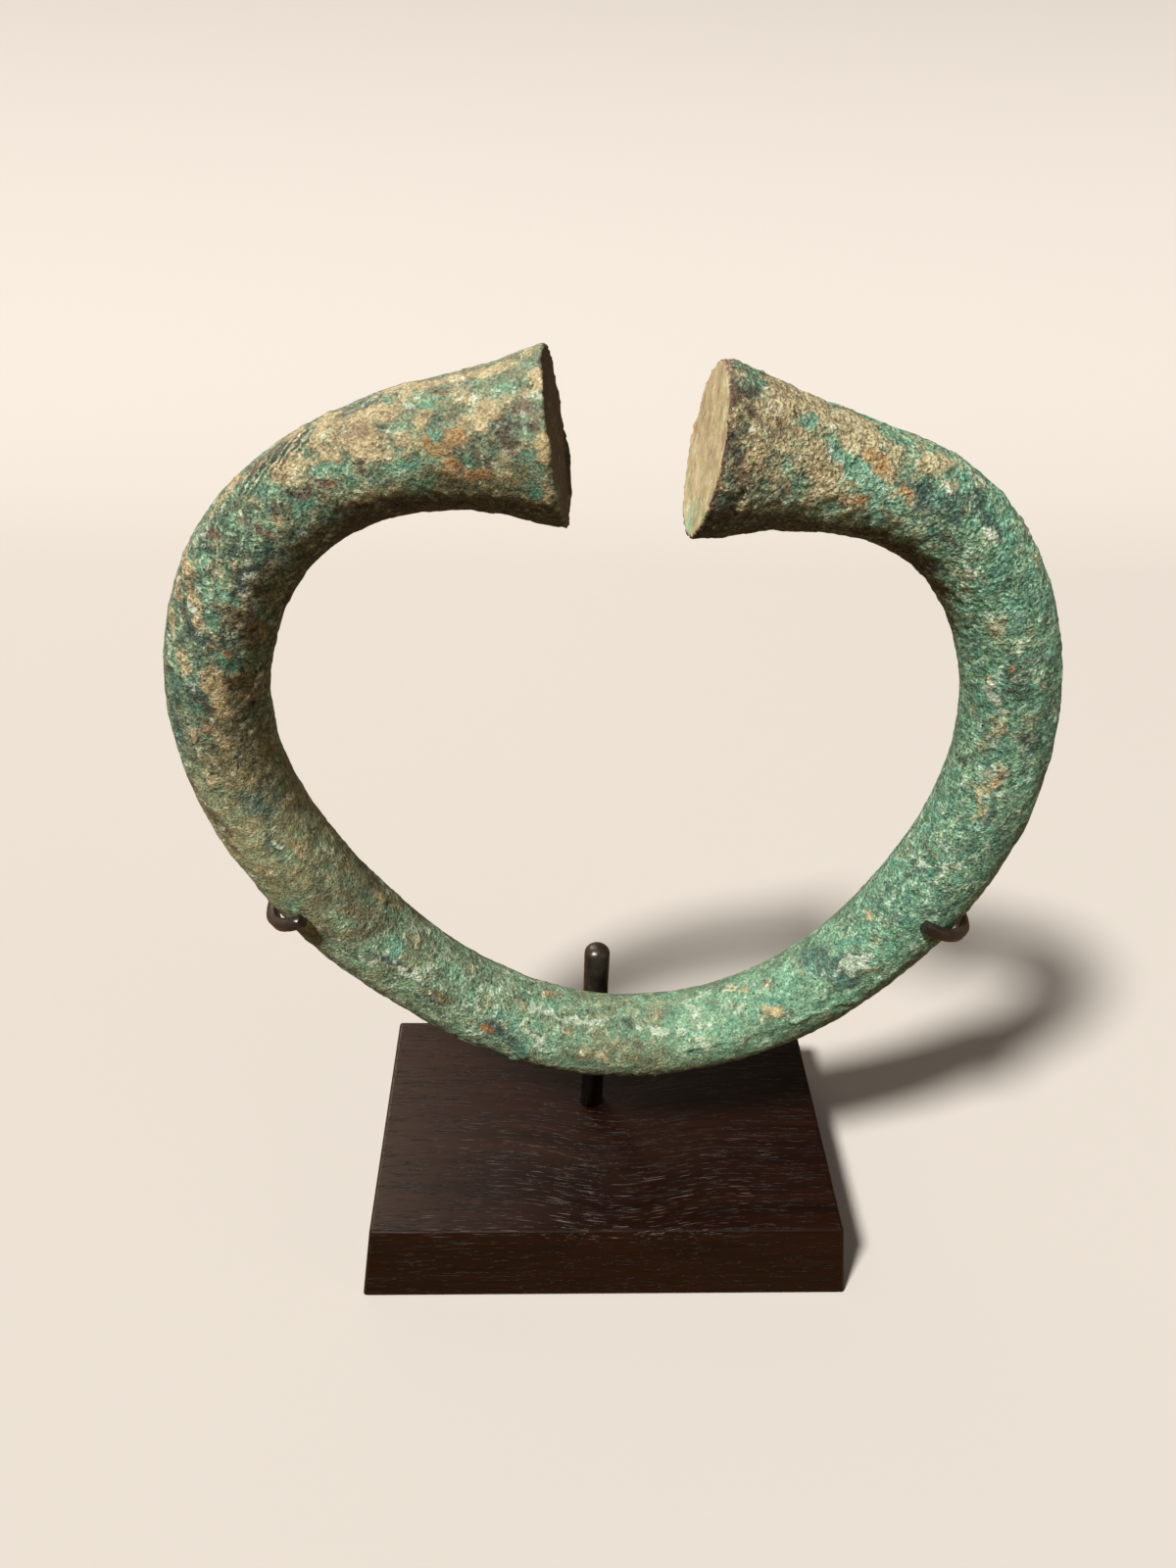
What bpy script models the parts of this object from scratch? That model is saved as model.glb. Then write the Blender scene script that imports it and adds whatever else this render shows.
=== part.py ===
# A manilla on its display stand: a heavy cast copper-alloy hoop with flared ends, held in
# the claws of a blackened metal stand whose post is let into a tapered wooden base.
# Metres, +Z up, +X to the right and -Y to the front. The origin is the centre of the underside.
import math

import bmesh
import bpy
import numpy as np
from mathutils import Matrix, Vector

# Wooden base: the width and depth are those of its top face
BASE_WIDTH = 0.150
BASE_DEPTH = 0.092
BASE_HEIGHT = 0.028
BASE_FLARE = 0.0035
BASE_EDGE = 0.001
BASE_EDGE_STEPS = 3

# Post: where it stands on the base, how far its domed top reaches above the middle of the
# strip behind the hoop, and the wood left under the socket that it stands in
POST_DIAMETER = 0.0075
POST_OFFSET_X = -0.004
POST_OFFSET_Y = 0.0084
POST_ABOVE_ARM = 0.020
POST_DOME = 0.0026
SOCKET_FLOOR = 0.010

# Cradle: a strip behind the hoop with a claw at each end that hooks round to the front
STRIP_THICKNESS = 0.0025
ARM_WIDTH = 0.005
CLAW_WIDTH = 0.003
STRIP_EDGE = 0.0005
WELD_SINK = 0.0005

# Gaps that separate pieces keep
CLEARANCE = 0.00035

# Hoop: the reach is from its centre to the middle of the bar, and the lift is the free
# height between the base and the lowest bar surface
HOOP_REACH = 0.100
HOOP_OFFSET_X = -0.0015
HOOP_LIFT = 0.0375
BAR_DIAMETER = 0.026
TERMINAL_DIAMETER = 0.042
SEAM_HEIGHT = 0.0006
SEAM_FORWARD_DEGREES = 35

# The bent bar, hand made and uneven: degrees from six o'clock towards the right, the share
# of the reach there, and the share of the bar's diameter
HOOP_STATIONS = (
    (-168, 0.870, 0.97),
    (-159, 0.899, 0.94),
    (-150, 0.948, 0.98),
    (-135, 1.030, 0.99),
    (-120, 1.069, 1.02),
    (-90, 1.030, 1.00),
    (-60, 0.950, 1.01),
    (-30, 0.966, 0.98),
    (0, 1.043, 0.98),
    (30, 1.045, 0.98),
    (60, 1.015, 1.03),
    (90, 1.030, 1.00),
    (120, 1.036, 0.98),
    (135, 0.998, 0.98),
    (150, 0.904, 0.93),
    (169, 0.845, 0.97),
)

# Trumpet ends: how quickly each flares, and how its flat face leans up and turns forward
LEFT_END = {"flare_length": 0.024, "lean_degrees": 9.5, "turn_degrees": 3.5}
RIGHT_END = {"flare_length": 0.028, "lean_degrees": 8.5, "turn_degrees": 1.5}
FLARE_POWER = 1.4
END_SPARE = 0.001

# Claws: where each grips, how far its tip comes round to the front, and how loosely it
# passes over the seam and ends at the tip
LEFT_CLAW = {"grip_degrees": -62.6, "tip_degrees": 82, "slack": 0.0001, "tip_slack": 0.0014}
RIGHT_CLAW = {"grip_degrees": 61.9, "tip_degrees": 98, "slack": 0.0004, "tip_slack": 0.0002}
CLAW_STEPS = 22

# Fineness of the round forms
BAR_STEPS = 96
BAR_SIDES = 30
END_CROWDING = 0.06
ARM_STEPS = 36
POST_SIDES = 32
DOME_STEPS = 5
SMOOTH_BELOW_DEGREES = 35
MERGE_DISTANCE = 0.00001


def clear_scene():
    for obj in list(bpy.data.objects):
        bpy.data.objects.remove(obj, do_unlink=True)


def new_collection(name):
    collection = bpy.data.collections.new(name)
    bpy.context.scene.collection.children.link(collection)
    return collection


def new_material(name, colour, roughness, metallic):
    material = bpy.data.materials.new(name)
    material.use_nodes = True
    shader = material.node_tree.nodes["Principled BSDF"]
    shader.inputs["Base Color"].default_value = (*colour, 1.0)
    shader.inputs["Roughness"].default_value = roughness
    shader.inputs["Metallic"].default_value = metallic
    return material


def smooth_curve(places, values):
    """A natural cubic through the values, as a function of place."""
    x, y = np.array(places, float), np.array(values, float)
    step = np.diff(x)
    matrix, right = np.eye(len(x)), np.zeros(len(x))
    for i in range(1, len(x) - 1):
        matrix[i, i - 1:i + 2] = step[i - 1], 2 * (step[i - 1] + step[i]), step[i]
        right[i] = 6 * ((y[i + 1] - y[i]) / step[i] - (y[i] - y[i - 1]) / step[i - 1])
    bend = np.linalg.solve(matrix, right)

    def value(place):
        i = int(np.clip(np.searchsorted(x, place) - 1, 0, len(step) - 1))
        before, after, gap = place - x[i], x[i + 1] - place, step[i]
        curved = (bend[i] * after**3 + bend[i + 1] * before**3) / (6 * gap)
        left = (y[i] / gap - bend[i] * gap / 6) * after
        return float(curved + left + (y[i + 1] / gap - bend[i + 1] * gap / 6) * before)

    return value


class Hoop:
    """The bar's middle line and thickness, drawn flat: x to the right, y up, z to the front."""

    def __init__(self):
        angles, reaches, sizes = zip(*HOOP_STATIONS)
        self.first, self.last = angles[0], angles[-1]
        self.reach = smooth_curve(angles, reaches)
        self.size = smooth_curve(angles, sizes)
        walk = [self.middle(a) for a in np.linspace(self.first, self.last, 200)]
        self.length = sum((b - a).length for a, b in zip(walk, walk[1:]))

    def middle(self, angle):
        turn = math.radians(angle)
        return Vector((math.sin(turn), -math.cos(turn), 0)) * self.reach(angle) * HOOP_REACH

    def along(self, angle):
        """The direction of the bar, from its left end towards its right end."""
        return (self.middle(angle + 0.1) - self.middle(angle - 0.1)).normalized()

    def outward(self, angle):
        return self.along(angle).cross(Vector((0, 0, 1)))

    def radius(self, angle):
        """Half the bar's thickness, with the flare towards each end."""
        share = (angle - self.first) / (self.last - self.first)
        flare = sum(
            math.exp(-((self.length * distance / end["flare_length"]) ** FLARE_POWER))
            for end, distance in ((LEFT_END, share), (RIGHT_END, 1 - share))
        )
        swell = (TERMINAL_DIAMETER - BAR_DIAMETER) / 2 * flare
        return self.size(angle) * BAR_DIAMETER / 2 + swell


def hoop_lowest(hoop):
    """How far the bar's lowest surface lies below the hoop's centre."""
    return max(hoop.radius(angle) - hoop.middle(angle).y for angle in range(-45, 46))


def hoop_frame(hoop):
    """Stands the flat drawing of the hoop up in its place, just in front of the post."""
    back = hoop.radius(0) + CLEARANCE + STRIP_THICKNESS - WELD_SINK
    place = Vector((
        HOOP_OFFSET_X,
        POST_OFFSET_Y - POST_DIAMETER / 2 - back,
        BASE_HEIGHT + HOOP_LIFT + hoop_lowest(hoop),
    ))
    return Matrix.Translation(place) @ Matrix.Rotation(math.radians(90), 4, "X")


def swept(name, points, outline, collection, frame, sizes=None):
    """A closed mesh made by carrying an outline along points that lie in a plane across Z."""
    profile = bpy.data.curves.new(name + "_outline", "CURVE")
    profile.dimensions = "2D"
    ring = profile.splines.new("POLY")
    ring.points.add(len(outline) - 1)
    for point, (x, y) in zip(ring.points, outline):
        point.co = (x, y, 0, 1)
    ring.use_cyclic_u = True
    profile_object = bpy.data.objects.new(name + "_outline", profile)
    collection.objects.link(profile_object)

    path = bpy.data.curves.new(name + "_path", "CURVE")
    path.dimensions = "3D"
    path.twist_mode = "Z_UP"
    path.bevel_mode = "OBJECT"
    path.bevel_object = profile_object
    path.use_fill_caps = True
    line = path.splines.new("POLY")
    line.points.add(len(points) - 1)
    for i, point in enumerate(points):
        line.points[i].co = (*point, 1)
        line.points[i].radius = sizes[i] if sizes else 1.0
    path_object = bpy.data.objects.new(name + "_path", path)
    path_object.matrix_world = frame
    collection.objects.link(path_object)

    bpy.context.view_layer.update()
    evaluated = path_object.evaluated_get(bpy.context.evaluated_depsgraph_get())
    mesh = bpy.data.meshes.new_from_object(evaluated)
    mesh.name = name
    for helper in (path_object, profile_object):
        bpy.data.objects.remove(helper, do_unlink=True)
    bm = bmesh.new()
    bm.from_mesh(mesh)
    bmesh.ops.remove_doubles(bm, verts=bm.verts, dist=MERGE_DISTANCE)
    bmesh.ops.recalc_face_normals(bm, faces=bm.faces)
    bm.to_mesh(mesh)
    bm.free()
    obj = bpy.data.objects.new(name, mesh)
    obj.matrix_world = frame
    collection.objects.link(obj)
    return obj


def bar_outline():
    """A circle of radius 1 with the low ridge of the mould seam on its outer front side."""
    raised = 1 + SEAM_HEIGHT / (BAR_DIAMETER / 2)
    outline = []
    for i in range(BAR_SIDES):
        turn = math.radians(SEAM_FORWARD_DEGREES) + 2 * math.pi * i / BAR_SIDES
        size = 1.0 if i else raised
        outline.append((size * math.cos(turn), size * math.sin(turn)))
    return outline


def strip_outline(width, thickness):
    """A rectangle with small chamfers on its corners."""
    x, y, cut = width / 2, thickness / 2, STRIP_EDGE
    return (
        (x, cut - y), (x, y - cut), (x - cut, y), (cut - x, y),
        (-x, y - cut), (-x, cut - y), (cut - x, -y), (x - cut, -y),
    )


def end_facing(angle, end):
    """The direction in which the flat face of a trumpet end looks, in the flat drawing."""
    lean, turn = math.radians(end["lean_degrees"]), math.radians(end["turn_degrees"])
    across = math.cos(lean) if angle < 0 else -math.cos(lean)
    return Vector((across * math.cos(turn), math.sin(lean) * math.cos(turn), math.sin(turn)))


def cut_end(bm, point, normal):
    """Cuts one arm off flat where the normal points, and closes the cut."""
    arm = {v for v in bm.verts if v.co.x * point.x > 0 and v.co.y > 0}
    near = [item for item in bm.edges[:] + bm.faces[:] if arm.issuperset(item.verts)]
    cut = bmesh.ops.bisect_plane(
        bm, geom=list(arm) + near, plane_co=point, plane_no=normal, clear_outer=True
    )
    rim = [item for item in cut["geom_cut"] if isinstance(item, bmesh.types.BMEdge)]
    bmesh.ops.edgeloop_fill(bm, edges=rim)


def build_manilla(hoop, frame, collection, material):
    angles = []
    for step in range(BAR_STEPS + 1):
        share = step / BAR_STEPS
        share -= END_CROWDING * math.sin(2 * math.pi * share)
        angles.append(hoop.first + share * (hoop.last - hoop.first))
    points = [hoop.middle(angle) for angle in angles]
    sizes = [hoop.radius(angle) for angle in angles]
    faces = (
        (0, hoop.first, -hoop.along(hoop.first), end_facing(hoop.first, LEFT_END)),
        (-1, hoop.last, hoop.along(hoop.last), end_facing(hoop.last, RIGHT_END)),
    )
    for index, angle, onward, facing in faces:
        slant = hoop.radius(angle) * math.tan(facing.angle(onward))
        points[index] += onward * (slant + END_SPARE)
    obj = swept("manilla", points, bar_outline(), collection, frame, sizes)

    bm = bmesh.new()
    bm.from_mesh(obj.data)
    for index, angle, onward, facing in faces:
        cut_end(bm, hoop.middle(angle), facing)
    bm.to_mesh(obj.data)
    bm.free()
    obj.data.materials.append(material)
    obj.data.shade_smooth()
    obj.data.set_sharp_from_angle(angle=math.radians(SMOOTH_BELOW_DEGREES))
    return obj


def arm_height(hoop, angle):
    """The middle of the strip, behind the bar, in the flat drawing."""
    return -(hoop.radius(angle) + CLEARANCE + STRIP_THICKNESS / 2)


def build_arms(hoop, frame, helpers):
    reach = (LEFT_CLAW["grip_degrees"], RIGHT_CLAW["grip_degrees"])
    points = []
    for angle in np.linspace(*reach, ARM_STEPS + 1):
        point = hoop.middle(angle)
        point.z = arm_height(hoop, angle)
        points.append(point)
    overlap = CLAW_WIDTH / 2
    points[0] -= hoop.along(reach[0]) * overlap
    points[-1] += hoop.along(reach[1]) * overlap
    return swept("arms", points, strip_outline(ARM_WIDTH, STRIP_THICKNESS), helpers, frame)


def build_claw(name, hoop, frame, claw, helpers):
    """A strip bent round the bar, from the arm behind it to the tip in front of it."""
    angle = claw["grip_degrees"]
    inner = hoop.radius(angle) + CLEARANCE + STRIP_THICKNESS / 2
    hidden = math.degrees((ARM_WIDTH / 2 - STRIP_EDGE) / inner)
    over_seam = SEAM_HEIGHT / math.cos(math.radians(SEAM_FORWARD_DEGREES)) ** 2
    points = []
    for turn in np.linspace(-90 - hidden, claw["tip_degrees"], CLAW_STEPS + 1):
        swing = math.radians(turn)
        distance = inner + (over_seam + claw["slack"]) * max(math.cos(swing), 0) ** 2
        distance += claw["tip_slack"] * max(math.sin(swing), 0) ** 2
        points.append(Vector((math.cos(swing), math.sin(swing), 0)) * distance)
    across = Matrix((
        hoop.outward(angle), Vector((0, 0, 1)), hoop.outward(angle).cross(Vector((0, 0, 1)))
    )).transposed().to_4x4()
    place = frame @ Matrix.Translation(hoop.middle(angle)) @ across
    outline = strip_outline(STRIP_THICKNESS, CLAW_WIDTH)
    return swept(name, points, outline, helpers, place)


def build_stand(hoop, frame, collection, helpers, material):
    """Post, arms and claws, welded into one piece of metal."""
    radius = POST_DIAMETER / 2
    bottom = SOCKET_FLOOR + CLEARANCE
    top = (frame @ hoop.middle(0)).z + POST_ABOVE_ARM
    profile = []
    for i in range(DOME_STEPS + 1):
        turn = math.pi / 2 * i / DOME_STEPS
        profile.append((radius * math.sin(turn), top - POST_DOME * (1 - math.cos(turn))))
    profile += [(radius, bottom), (0, bottom)]
    mesh = bpy.data.meshes.new("metal_stand")
    mesh.from_pydata(
        [(x, 0, z) for x, z in profile], [(i, i + 1) for i in range(len(profile) - 1)], []
    )
    obj = bpy.data.objects.new("metal_stand", mesh)
    obj.location = (POST_OFFSET_X, POST_OFFSET_Y, 0)
    collection.objects.link(obj)
    turned = obj.modifiers.new("Turned", "SCREW")
    turned.steps = turned.render_steps = POST_SIDES
    turned.use_merge_vertices = True
    turned.merge_threshold = MERGE_DISTANCE

    welded = [build_arms(hoop, frame, helpers)]
    welded.append(build_claw("left_claw", hoop, frame, LEFT_CLAW, helpers))
    welded.append(build_claw("right_claw", hoop, frame, RIGHT_CLAW, helpers))
    for piece in welded:
        weld = obj.modifiers.new("Weld " + piece.name, "BOOLEAN")
        weld.operation = "UNION"
        weld.object = piece
    obj.data.materials.append(material)
    return obj


def build_base(collection, helpers, material):
    """A block whose sides lean out a little towards the bottom, with a socket for the post."""
    bm = bmesh.new()
    bmesh.ops.create_cube(bm, size=1.0)
    for vert in bm.verts:
        flare = 0 if vert.co.z > 0 else BASE_FLARE
        vert.co.x *= BASE_WIDTH + 2 * flare
        vert.co.y *= BASE_DEPTH + 2 * flare
        vert.co.z = (vert.co.z + 0.5) * BASE_HEIGHT
    mesh = bpy.data.meshes.new("wooden_base")
    bm.to_mesh(mesh)
    bm.free()
    obj = bpy.data.objects.new("wooden_base", mesh)
    collection.objects.link(obj)
    eased = obj.modifiers.new("Eased edges", "BEVEL")
    eased.width = BASE_EDGE
    eased.segments = BASE_EDGE_STEPS

    bm = bmesh.new()
    radius = POST_DIAMETER / 2 + CLEARANCE
    bmesh.ops.create_cone(
        bm, cap_ends=True, segments=POST_SIDES, radius1=radius, radius2=radius,
        depth=2 * (BASE_HEIGHT - SOCKET_FLOOR),
    )
    mesh = bpy.data.meshes.new("socket")
    bm.to_mesh(mesh)
    bm.free()
    socket = bpy.data.objects.new("socket", mesh)
    socket.location = (POST_OFFSET_X, POST_OFFSET_Y, BASE_HEIGHT)
    helpers.objects.link(socket)
    drilled = obj.modifiers.new("Socket", "BOOLEAN")
    drilled.operation = "DIFFERENCE"
    drilled.object = socket
    obj.data.materials.append(material)
    return obj


def main():
    clear_scene()
    parts = new_collection("manilla_on_stand")
    helpers = new_collection("helpers")
    patina = new_material("Patinated copper alloy", (0.16, 0.25, 0.17), 0.85, 0.1)
    blackened = new_material("Blackened metal", (0.02, 0.016, 0.014), 0.45, 0.6)
    stained = new_material("Dark stained wood", (0.045, 0.03, 0.024), 0.35, 0.0)

    hoop = Hoop()
    frame = hoop_frame(hoop)
    build_base(parts, helpers, stained)
    build_stand(hoop, frame, parts, helpers, blackened)
    build_manilla(hoop, frame, parts, patina)
    for helper in helpers.objects:
        helper.hide_render = True
        helper.display_type = "WIRE"


main()
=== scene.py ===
import math

import bmesh
import bpy
import numpy as np
from mathutils import Matrix, Vector, noise
from mathutils.bvhtree import BVHTree


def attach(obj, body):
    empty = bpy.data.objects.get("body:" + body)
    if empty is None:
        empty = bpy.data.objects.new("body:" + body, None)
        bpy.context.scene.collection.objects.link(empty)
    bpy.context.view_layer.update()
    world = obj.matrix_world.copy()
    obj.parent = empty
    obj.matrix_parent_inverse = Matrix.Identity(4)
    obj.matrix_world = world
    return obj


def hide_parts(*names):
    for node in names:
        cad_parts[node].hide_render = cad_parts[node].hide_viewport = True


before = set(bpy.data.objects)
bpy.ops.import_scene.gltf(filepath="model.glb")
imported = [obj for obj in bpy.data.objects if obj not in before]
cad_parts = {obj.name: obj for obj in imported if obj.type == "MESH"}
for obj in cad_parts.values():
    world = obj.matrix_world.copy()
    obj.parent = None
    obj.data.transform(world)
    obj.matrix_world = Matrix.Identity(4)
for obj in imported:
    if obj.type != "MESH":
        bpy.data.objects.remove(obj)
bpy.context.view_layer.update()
print("frame loaded")

# Camera at the photo's viewing angle; pixels are those of its 1200 x 1600 picture
view = {
    "place": (-0.0219, -0.2791, 0.3490),
    "yaw": -2.60,
    "pitch": 33.17,
    "roll": 1.98,
    "lens": 27.05,
    "sensor": 36.0,
    "pictureWidth": 1200,
    "pictureHeight": 1600,
    "toHoop": 0.36,           # metres from the camera to the hoop
    "pixel": 0.000295,        # metres that one pixel spans there
}


def viewAxes():
    yaw, pitch, roll = (math.radians(view[k]) for k in ("yaw", "pitch", "roll"))
    ahead = Vector((
        -math.sin(yaw) * math.cos(pitch),
        math.cos(yaw) * math.cos(pitch),
        -math.sin(pitch),
    ))
    right = Vector((math.cos(yaw), math.sin(yaw), 0.0))
    up = right.cross(ahead)
    return (
        right * math.cos(roll) + up * math.sin(roll),
        up * math.cos(roll) - right * math.sin(roll),
        ahead,
    )


def placeCamera():
    right, up, ahead = viewAxes()
    data = bpy.data.cameras.new("photoCamera")
    data.lens = view["lens"]
    data.sensor_width = view["sensor"]
    data.clip_start = 0.01
    camera = bpy.data.objects.new("photoCamera", data)
    turn = Matrix((right, up, -ahead)).transposed().to_4x4()
    camera.matrix_world = Matrix.Translation(view["place"]) @ turn
    bpy.context.scene.collection.objects.link(camera)
    bpy.context.scene.camera = camera


def surfaceAt(tree, x, y):  # the point of a surface that shows at a pixel of the picture
    right, up, ahead = viewAxes()
    focal = view["lens"] / view["sensor"] * view["pictureHeight"]
    across = (x - view["pictureWidth"] / 2) / focal
    down = (y - view["pictureHeight"] / 2) / focal
    ray = (ahead + right * across - up * down).normalized()
    start = Vector(view["place"])
    hit = tree.ray_cast(start, ray)[0]
    if hit is None:  # just off the outline: the nearest point to the ray
        hit = tree.find_nearest(start + ray * view["toHoop"])[0]
    return np.array(hit)


# Node helpers
def addNode(tree, kind, settings=None, **inputs):
    node = tree.nodes.new(kind)
    for name, value in (settings or {}).items():
        setattr(node, name, value)
    for name, value in inputs.items():
        plug(tree, node.inputs[name], value)
    return node


def plug(tree, socket, value):
    if isinstance(value, bpy.types.NodeSocket):
        tree.links.new(value, socket)
    elif socket.type == "RGBA" and len(value) == 3:
        socket.default_value = (*value, 1.0)
    else:
        socket.default_value = value


def mathNode(tree, operation, *values, clamp=False):
    node = tree.nodes.new("ShaderNodeMath")
    node.operation = operation
    node.use_clamp = clamp
    for socket, value in zip(node.inputs, values):
        plug(tree, socket, value)
    return node.outputs[0]


def centred(tree, value, middle, amount):  # (value - middle) * amount
    return mathNode(tree, "MULTIPLY", mathNode(tree, "SUBTRACT", value, middle), amount)


def weighted(tree, values, weights, start=0.0):  # start, plus each named value times its weight
    total = start
    for name, weight in weights.items():
        total = mathNode(tree, "MULTIPLY_ADD", values[name], weight, total)
    return total


def mixColour(tree, share, below, above):
    node = tree.nodes.new("ShaderNodeMix")
    node.data_type = "RGBA"
    plug(tree, node.inputs[0], share)
    plug(tree, node.inputs[6], below)
    plug(tree, node.inputs[7], above)
    return node.outputs[2]


def smoothRange(tree, value, low, high, outLow=0.0, outHigh=1.0):
    node = tree.nodes.new("ShaderNodeMapRange")
    node.interpolation_type = "SMOOTHSTEP"
    for socket, item in zip(node.inputs, (value, low, high, outLow, outHigh)):
        plug(tree, socket, item)
    return node.outputs[0]


def addBump(tree, shader, height, strength, distance):
    bump = addNode(tree, "ShaderNodeBump", Strength=strength, Distance=distance, Height=height)
    plug(tree, shader.inputs["Normal"], bump.outputs[0])


def newGroup(name, inputs, outputs):
    group = bpy.data.node_groups.new(name, "ShaderNodeTree")
    kinds = {"value": "NodeSocketFloat", "colour": "NodeSocketColor", "vector": "NodeSocketVector"}
    for label, kind, start in inputs:
        socket = group.interface.new_socket(label, in_out="INPUT", socket_type=kinds[kind])
        if start is not None:
            socket.default_value = start
    for label, kind in outputs:
        group.interface.new_socket(label, in_out="OUTPUT", socket_type=kinds[kind])
    given = group.nodes.new("NodeGroupInput").outputs
    result = group.nodes.new("NodeGroupOutput").inputs
    return group, given, result


def useGroup(tree, group, **inputs):
    node = tree.nodes.new("ShaderNodeGroup")
    node.node_tree = group
    for name, value in inputs.items():
        plug(tree, node.inputs[name], value)
    return node.outputs


def speckleGroup():  # cloudy noise stretched to 0 .. 1
    group, given, result = newGroup(
        "speckle",
        [("vector", "vector", None), ("scale", "value", 500.0), ("detail", "value", 4.0),
         ("contrast", "value", 1.0), ("drift", "value", 0.0)],
        [("value", "value")],
    )
    noiseInputs = {"Vector": "vector", "Scale": "scale", "Detail": "detail", "W": "drift"}
    cloudy = addNode(group, "ShaderNodeTexNoise", {"noise_dimensions": "4D"}, Roughness=0.6)
    for name, source in noiseInputs.items():
        group.links.new(given[source], cloudy.inputs[name])
    spread = centred(group, cloudy.outputs[0], 0.5, given["contrast"])
    group.links.new(mathNode(group, "ADD", spread, 0.5, clamp=True), result["value"])
    return group


def patchGroup():  # lays one colour over another where a mask says, with a ragged edge
    group, given, result = newGroup(
        "raggedPatch",
        [("below", "colour", None), ("above", "colour", None), ("mask", "value", 0.0),
         ("noise", "value", 0.5), ("ragged", "value", 0.4), ("soft", "value", 0.2),
         ("solid", "value", 1.0)],
        [("colour", "colour"), ("cover", "value")],
    )
    swing = centred(group, given["noise"], 0.5, given["ragged"])
    level = mathNode(group, "ADD", given["mask"], swing)
    low = mathNode(group, "MULTIPLY", given["soft"], -1.0)
    cover = smoothRange(group, level, low, given["soft"], 0.0, given["solid"])
    group.links.new(mixColour(group, cover, given["below"], given["above"]), result["colour"])
    group.links.new(cover, result["cover"])
    return group


speckle = speckleGroup()
raggedPatch = patchGroup()


def cloud(tree, vector, scale, detail, contrast, drift):
    return useGroup(tree, speckle, vector=vector, scale=scale, detail=detail,
                    contrast=contrast, drift=drift)["value"]


def newMaterial(name):
    material = bpy.data.materials.new(name)
    material.use_nodes = True
    shader = material.node_tree.nodes["Principled BSDF"]
    return material, material.node_tree, shader


def objectVector(tree):
    return addNode(tree, "ShaderNodeTexCoord").outputs["Object"]


def stretched(tree, vector, scale):
    return addNode(tree, "ShaderNodeMapping", Vector=vector, Scale=scale).outputs[0]


# Mesh helpers
def mergedCopy(nodeName, pieceName, mergeWithin=0.00001):
    bm = bmesh.new()
    bm.from_mesh(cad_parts[nodeName].data)
    bmesh.ops.remove_doubles(bm, verts=bm.verts, dist=mergeWithin)
    mesh = bpy.data.meshes.new(pieceName)
    bm.to_mesh(mesh)
    bm.free()
    piece = bpy.data.objects.new(pieceName, mesh)
    bpy.context.scene.collection.objects.link(piece)
    return piece


def applyModifiers(piece):
    graph = bpy.context.evaluated_depsgraph_get()
    mesh = bpy.data.meshes.new_from_object(piece.evaluated_get(graph))
    piece.modifiers.clear()
    old = piece.data
    piece.data = mesh
    bpy.data.meshes.remove(old)


def surfaceTree(mesh):
    bm = bmesh.new()
    bm.from_mesh(mesh)
    tree = BVHTree.FromBMesh(bm)
    bm.free()
    return tree


def vertexVectors(mesh, key="co"):
    values = np.empty(len(mesh.vertices) * 3, np.float32)
    mesh.vertices.foreach_get(key, values)
    return values.reshape(-1, 3).astype(float)


def moveVertices(mesh, points):
    mesh.vertices.foreach_set("co", points.astype(np.float32).ravel())
    mesh.update()


def setAttribute(mesh, name, values):
    attribute = mesh.attributes.new(name, "FLOAT", "POINT")
    attribute.data.foreach_set("value", values.astype(np.float32))


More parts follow.
